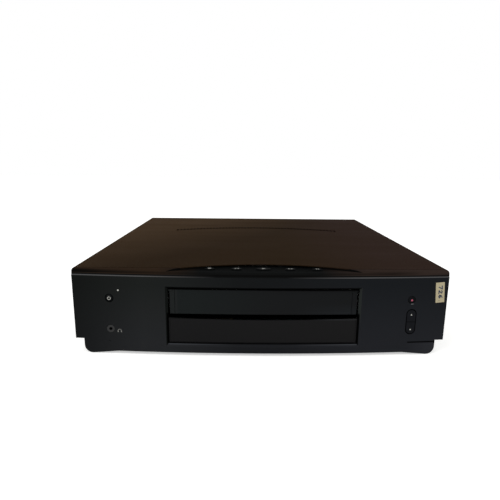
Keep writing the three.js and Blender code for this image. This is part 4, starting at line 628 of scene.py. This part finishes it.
# the number is read from top to bottom, each digit turned a quarter
digits = {
    "7": [(-1.6, 1.6), (1.7, 1.8), (-0.5, -1.8)],
    "2": [(-1.5, 1), (-0.3, 1.7), (1.3, 1.2), (0.4, 0), (-1.6, -1.6), (1.7, -1.8)],
    "6": [(1.1, 1.8), (-1, 0.6), (-1.5, -1), (0, -1.8), (1.5, -1), (0.2, -0.1), (-1.2, -0.7)],
}
PITCH = 4.8
writing = bmesh.new()
for i, digit in enumerate("726"):
    on_line = on_sticker @ Matrix.Translation((0.4, (1.1 - i) * PITCH, PAPER_TOP))
    on_line = on_line @ Matrix.Rotation(-math.pi / 2, 4, "Z")
    add_stroke(writing, digits[digit], on_line)
add_solid(writing, circle(0.45), INK, on_sticker @ Matrix.Translation((-1, -1.8 * PITCH, PAPER_TOP)))
add_piece("sticker_number", writing, pen_ink, "cabinet")

# Boards: paper laminate with a lacquered print, drilled for the parts. The light solder mask shows
# the tracks as darker bands.
laminate, tree, shader, place = new_finish("lacquered_paper_laminate", Specular_IOR_Level=0.35)
tracks = add_node(tree, "TexBrick", {
    "Vector": place, "Scale": per_mm(14), "Mortar Size": 0.03, "Row Height": 0.2,
    "Color1": linear("#3f351b"), "Color2": linear("#483e22"), "Mortar": linear("#57492a")})
blot = add_node(tree, "TexNoise", {"Vector": place, "Scale": per_mm(22), "Detail": 4})
tone = blend_tones(tree, tracks.outputs["Color"], (blot, "#463d23"))
rough = add_node(tree, "MapRange", {"Value": blot, "To Min": 0.35, "To Max": 0.55})
relief = add_node(tree, "Bump", {"Strength": 0.3, "Distance": 0.05 * MM, "Height": tracks.outputs["Fac"]})
feed(tree, shader, Base_Color=tone, Roughness=rough, Normal=relief)
dress(laminate, "control_board", "key_board", "main_board")

# Small parts on the main board: black moulded chips, aluminium cans in blue sleeves and brown banded
# resistors, each soldered through the board. They stand in rows, as a machine puts them in.
epoxy, tree, shader, place = new_finish("moulded_black_epoxy", Specular_IOR_Level=0.25)
mould = add_node(tree, "TexNoise", {"Vector": place, "Scale": per_mm(1), "Detail": 3})
tone = blend_tones(tree, linear("#151516"), (mould, "#1f1f21"))
rough = add_node(tree, "MapRange", {"Value": mould, "To Min": 0.5, "To Max": 0.7})
relief = add_node(tree, "Bump", {"Strength": 0.2, "Distance": 0.02 * MM, "Height": mould})
feed(tree, shader, Base_Color=tone, Roughness=rough, Normal=relief)

can_sleeve, tree, shader, place = new_finish("shrunk_pvc_sleeve", Specular_IOR_Level=0.4)
shrink = add_node(tree, "TexNoise", {"Vector": place, "Scale": per_mm(3), "Detail": 2})
tone = blend_tones(tree, linear("#1b2433"), (shrink, "#26324a"))
rough = add_node(tree, "MapRange", {"Value": shrink, "To Min": 0.25, "To Max": 0.4})
feed(tree, shader, Base_Color=tone, Roughness=rough)

lacquer, tree, shader, place = new_finish("dipped_resistor_lacquer", Specular_IOR_Level=0.4)
bands = add_node(tree, "TexWave", {"Vector": place, "Scale": per_mm(2.4) / math.tau}, bands_direction="X")
band_share = add_node(tree, "MapRange", {"Value": bands.outputs["Fac"], "From Min": 0.8, "From Max": 0.9})
tone = blend_tones(tree, linear("#a4805a"), (band_share, "#5a2f1e"))
rough = add_node(tree, "MapRange", {"Value": bands.outputs["Fac"], "To Min": 0.35, "To Max": 0.5})
feed(tree, shader, Base_Color=tone, Roughness=rough)

CHIP = [(0.4, 0), (2.2, 0.25), (4, 0)]
CAN = [(0, 0), (11, 0), (11.4, 0.4), (11.4, 0.8), (11.2, 1)]
RESISTOR = [(-3, 0.3), (-2.4, 0), (-1.4, 0.15), (1.4, 0.15), (2.4, 0), (3, 0.3)]
CHIP_PITCH, CAN_PITCH, RESISTOR_PITCH = 42, 26, 10
ALONG_X = (0, 90, 0)
board_low, board_high = box_mm("main_board")
chips, cans, resistors = bmesh.new(), bmesh.new(), bmesh.new()
for i in range(5):
    on_board = seat(board_low.x + 40 + CHIP_PITCH * i, board_low.y + 22, board_high.z)
    add_solid(chips, rectangle(26 if i % 2 else 20, 8), CHIP, on_board)
for i in range(9):
    on_board = seat(board_low.x + 24 + CAN_PITCH * i, board_low.y + 40, board_high.z)
    add_solid(cans, circle(3 if i % 3 else 4), CAN, on_board)
for i in range(24):
    x, y = board_low.x + 22 + RESISTOR_PITCH * i, board_low.y + 8 + 4 * (i % 2)
    add_solid(resistors, circle(1.1, 12), RESISTOR, seat(x, y, board_high.z + 1.2, ALONG_X))
add_piece("board_chips", chips, epoxy, "cabinet")
add_piece("board_capacitors", cans, can_sleeve, "cabinet")
add_piece("board_resistors", resistors, lacquer, "cabinet")

# Glass: the display tube and the end-of-tape lamp are drawn glass with a grey-green tint and faint
# drawing lines.
glass, tree, shader, place = new_finish(
    "tinted_tube_glass", IOR=1.52, Transmission_Weight=0.35, Roughness=0.05)
draw_lines = add_node(tree, "TexNoise", {"Vector": place, "Scale": per_mm(6), "Detail": 2})
tone = blend_tones(tree, linear("#1f302e"), (draw_lines, "#2c403d"))
relief = add_node(tree, "Bump", {"Strength": 0.1, "Distance": 0.05 * MM, "Height": draw_lines})
feed(tree, shader, Base_Color=tone, Normal=relief)
dress(glass, "display_tube", "tape_end_lamp")

# Sockets: black thermoplastic blocks soldered to the main board, with plated contacts. The mouldings
# are plain and slightly rough from the tool.
socket_plastic, tree, shader, place = new_finish("black_socket_thermoplastic", Specular_IOR_Level=0.3)
flow = add_node(tree, "TexNoise", {"Vector": place, "Scale": per_mm(5), "Detail": 4})
tone = blend_tones(tree, linear("#131313"), (flow, "#1e1e1f"))
rough = add_node(tree, "MapRange", {"Value": flow, "To Min": 0.4, "To Max": 0.6})
corner = add_node(tree, "Bevel", {"Radius": 0.3 * MM}, samples=4)
relief = add_node(tree, "Bump", {"Strength": 0.2, "Distance": 0.03 * MM, "Height": flow, "Normal": corner})
feed(tree, shader, Base_Color=tone, Roughness=rough, Normal=relief)
dress(socket_plastic, "mains_inlet", "scart_socket_1", "scart_socket_2", "headphone_jack")

brass, tree, shader, place = new_finish("plated_brass", Metallic=1.0)
tarnish = add_node(tree, "TexNoise", {"Vector": place, "Scale": per_mm(5), "Detail": 4})
tone = blend_tones(tree, linear("#c9a35c"), (tarnish, "#9d7c42"))
rough = add_node(tree, "MapRange", {"Value": tarnish, "To Min": 0.22, "To Max": 0.42})
feed(tree, shader, Base_Color=tone, Roughness=rough)
dress(brass, "motor_pinion")

# the phono pair is one block: black plastic round two brass shells
phono_low, phono_high = box_mm("audio_jacks")
PHONO_PITCH, PHONO_FACE, PHONO_DROP, SHELL_REACH = 14, 25, 9, 4.6
phono_xs = [(phono_low.x + phono_high.x + side * PHONO_PITCH) / 2 for side in (-1, 1)]
phono_z = phono_high.z - PHONO_DROP
phono_face = phono_low.y + PHONO_FACE
jack_block, tree, shader, place = new_finish("brass_shells_in_black_plastic")
at = in_mm(tree, place)
flow = add_node(tree, "TexNoise", {"Vector": place, "Scale": per_mm(5), "Detail": 4})
shells = []
for x in phono_xs:
    off_x, off_z = distance(tree, at["X"], x), distance(tree, at["Z"], phono_z)
    off = add_node(tree, "CombineXYZ", {"X": off_x, "Y": off_z})
    away = add_node(tree, "VectorMath", {0: off}, operation="LENGTH")
    on_shell = (away.outputs["Value"], SHELL_REACH + 0.1, SHELL_REACH)
    shells.append(where(tree, on_shell, (at["Y"], phono_face - 0.2, phono_face)))
shell_share = add_node(tree, "Math", {0: shells[0], 1: shells[1]}, operation="MAXIMUM")
tone = blend_tones(tree, linear("#131313"), (flow, "#1e1e1f"), (shell_share, "#bd9752"))
rough = add_node(tree, "MapRange", {"Value": flow, "To Min": 0.3, "To Max": 0.55})
feed(tree, shader, Base_Color=tone, Roughness=rough, Metallic=shell_share)
dress(jack_block, "audio_jacks")


def add_ring(mesh, section, at, steps=28):
    """A ring turned from (radius, height) points that go round its section."""
    loops = []
    for radius, height in section:
        loops.append([mesh.verts.new(at @ Vector((x, y, height))) for x, y in circle(radius, steps)])
    for one, two in zip(loops, loops[1:] + loops[:1]):
        for i in range(steps):
            mesh.faces.new((one[i - 1], one[i], two[i], two[i - 1]))


# coloured rings tell the phono sockets apart, and black ones hold the aerial pins
ring_colours = {"yellow_socket_ring": ("#b89a2c", "#c7a93c"), "white_socket_ring": ("#b4b2aa", "#c4c2ba")}
for x, (name, shades) in zip(phono_xs, ring_colours.items()):
    ring_plastic, tree, shader, place = new_finish(name + "_plastic", Specular_IOR_Level=0.35)
    flow = add_node(tree, "TexNoise", {"Vector": place, "Scale": per_mm(2), "Detail": 3})
    tone = blend_tones(tree, linear(shades[0]), (flow, shades[1]))
    rough = add_node(tree, "MapRange", {"Value": flow, "To Min": 0.35, "To Max": 0.5})
    feed(tree, shader, Base_Color=tone, Roughness=rough)
    ring = bmesh.new()
    add_ring(ring, [(4.3, -0.2), (6.2, -0.2), (6.2, 0.6), (5.9, 0.9), (4.3, 0.9)],
             seat(x, phono_face, phono_z, BACK))
    add_piece(name, ring, ring_plastic, "cabinet")

tuner_low, tuner_high = box_mm("tuner_can")
AERIAL_PITCH = 24
holders = bmesh.new()
arrows = []
for side in (-1, 1):
    x, z = (tuner_low.x + tuner_high.x + side * AERIAL_PITCH) / 2, (tuner_low.z + tuner_high.z) / 2
    add_ring(holders, [(1.1, -4.5), (3.7, -4.5), (3.7, -3), (1.1, -3)], seat(x, tuner_high.y, z, BACK))
    arrows.append(shifted(pointer(3, side * 90), -side * AERIAL_PITCH / 2))
add_piece("aerial_pin_holders", holders, socket_plastic, "cabinet")
above_aerials = seat((tuner_low.x + tuner_high.x) / 2, back_y, tuner_high.z + 5, BACK)
add_sign("aerial_arrows", arrows, above_aerials, white_ink, "cabinet")

SCART_DROP, SCART_PITCH, SCART_ROWS = 8.5, 3.81, 1.9
for socket in ("scart_socket_1", "scart_socket_2"):
    low, high = box_mm(socket)
    in_socket = seat((low.x + high.x) / 2, high.y, high.z - SCART_DROP, BACK)
    contacts = bmesh.new()
    for row in (1, -1):
        for i in range(10):
            x = (i - 4.5 + row * 0.25) * SCART_PITCH
            add_solid(contacts, shifted(rectangle(0.9, 2.6), x, row * SCART_ROWS), INK, in_socket)
    add_piece(socket + "_contacts", contacts, brass, "cabinet")

# the inlet's two pins are bright steel over the moulding's cores
low, high = box_mm("mains_inlet")
INLET_DROP, PIN_REACH = 9, 4.3
PIN = [(-10.8, 0), (-1.3, 0), (-0.9, 0.4)]
in_inlet = seat((low.x + high.x) / 2, high.y, high.z - INLET_DROP, BACK)
pins = bmesh.new()
for side in (-1, 1):
    add_solid(pins, shifted(circle(1.26, 16), side * PIN_REACH), PIN, in_inlet)
add_piece("mains_inlet_pins", pins, zinc, "cabinet")

# Rating plate: a bare strip of brushed aluminium foil on the back, with nothing printed on it. The
# brushing runs along it and stretches the shine.
foil, tree, shader, place = new_finish("brushed_aluminium_foil", Metallic=1.0)
lines = add_node(tree, "Mapping", {"Vector": place, "Scale": (per_mm(40), per_mm(4), per_mm(0.5))})
brushing = add_node(tree, "TexNoise", {"Vector": lines, "Scale": 1, "Detail": 4})
tone = blend_tones(tree, linear("#a2a4a5"), (brushing, "#8c8e90"))
rough = add_node(tree, "MapRange", {"Value": brushing, "To Min": 0.35, "To Max": 0.55})
relief = add_node(tree, "Bump", {"Strength": 0.2, "Distance": 0.02 * MM, "Height": brushing})
feed(tree, shader, Base_Color=tone, Roughness=rough, Normal=relief)
plate = bmesh.new()
add_solid(plate, rectangle(58, 22), [(-0.1, 0), (0.1, 0), (0.15, 0.1)], seat(92, back_y, 60, BACK))
add_piece("bare_rating_plate", plate, foil, "cabinet")

# Reel tables, clutch and motor case: grey thermoplastic, moulded and left as it comes from the tool,
# with a faint flow in its tone.
grey_plastic, tree, shader, place = new_finish("grey_moulded_plastic", Specular_IOR_Level=0.4)
flow = add_node(tree, "TexNoise", {"Vector": place, "Scale": per_mm(4), "Detail": 3})
tone = blend_tones(tree, linear("#4a4c4f"), (flow, "#5d5f62"))
rough = add_node(tree, "MapRange", {"Value": flow, "To Min": 0.42, "To Max": 0.6})
corner = add_node(tree, "Bevel", {"Radius": 0.25 * MM}, samples=4)
feed(tree, shader, Base_Color=tone, Roughness=rough, Normal=corner)
dress(grey_plastic, "supply_reel_table", "take_up_reel_table", "capstan_motor", "clutch_pulley")

# Power parts: the transformer is a stack of varnished steel sheets round a taped winding, and the
# heat sink is sawn from an aluminium section.
stack, tree, shader, place = new_finish("varnished_lamination_stack", Metallic=0.6)
sheets = add_node(tree, "TexWave", {"Vector": place, "Scale": per_mm(1.2) / math.tau, "Distortion": 0.3},
                  bands_direction="Y")
tone = blend_tones(tree, linear("#3d3a35"), (sheets.outputs["Fac"], "#6e6a62"))
rough = add_node(tree, "MapRange", {"Value": sheets.outputs["Fac"], "To Min": 0.4, "To Max": 0.6})
relief = add_node(tree, "Bump", {"Strength": 0.5, "Distance": 0.1 * MM, "Height": sheets.outputs["Fac"]})
feed(tree, shader, Base_Color=tone, Roughness=rough, Normal=relief)
dress(stack, "transformer")

drawn_aluminium, tree, shader, place = new_finish("drawn_aluminium_section", Metallic=1.0)
lines = add_node(tree, "Mapping", {"Vector": place, "Scale": (per_mm(0.8), per_mm(30), per_mm(0.8))})
die_lines = add_node(tree, "TexNoise", {"Vector": lines, "Scale": 1, "Detail": 3})
tone = blend_tones(tree, linear("#a9abac"), (die_lines, "#8f9193"))
rough = add_node(tree, "MapRange", {"Value": die_lines, "To Min": 0.4, "To Max": 0.58})
relief = add_node(tree, "Bump", {"Strength": 0.2, "Distance": 0.03 * MM, "Height": die_lines})
feed(tree, shader, Base_Color=tone, Roughness=rough, Normal=relief)
dress(drawn_aluminium, "heat_sink")

# Turned and polished metal: drum, capstan, guides, heads and the tension arm are ground bright so
# that the tape runs over them, and the lathe leaves fine rings that stretch the highlights.
bright, tree, shader, place = new_finish("ground_bright_metal", Metallic=1.0)
rings = add_node(
    tree, "TexWave", {"Vector": place, "Scale": per_mm(0.9) / math.tau, "Distortion": 1.2, "Detail": 2},
    bands_direction="Z")
smear = add_node(tree, "TexNoise", {"Vector": place, "Scale": per_mm(12), "Detail": 3})
tone = blend_tones(tree, linear("#c9cbcd"), (smear, "#b2b4b6"))
rough = add_node(tree, "MapRange", {"Value": rings.outputs["Fac"], "To Min": 0.12, "To Max": 0.3})
relief = add_node(tree, "Bump", {"Strength": 0.15, "Distance": 0.02 * MM, "Height": rings.outputs["Fac"]})
feed(tree, shader, Base_Color=tone, Roughness=rough, Normal=relief)
dress(bright, "lower_drum", "upper_drum", "capstan", "tension_arm", "guide_left", "guide_right", "erase_head",
      "audio_control_head")

# Acetal gears: milky white and slippery, with a waxy shine and a trace of grease between the teeth.
acetal, tree, shader, place = new_finish("white_acetal", Subsurface_Weight=0.2, Specular_IOR_Level=0.45)
shader.inputs["Subsurface Radius"].default_value = (MM, MM, 0.8 * MM)
grease = add_node(tree, "TexNoise", {"Vector": place, "Scale": per_mm(3), "Detail": 3})
tone = blend_tones(tree, linear("#dedbd0"), (grease, "#c7c2b2"))
rough = add_node(tree, "MapRange", {"Value": grease, "To Min": 0.2, "To Max": 0.4})
feed(tree, shader, Base_Color=tone, Roughness=rough)
dress(acetal, "idler_gear", "mode_gear")

bpy.context.view_layer.update()
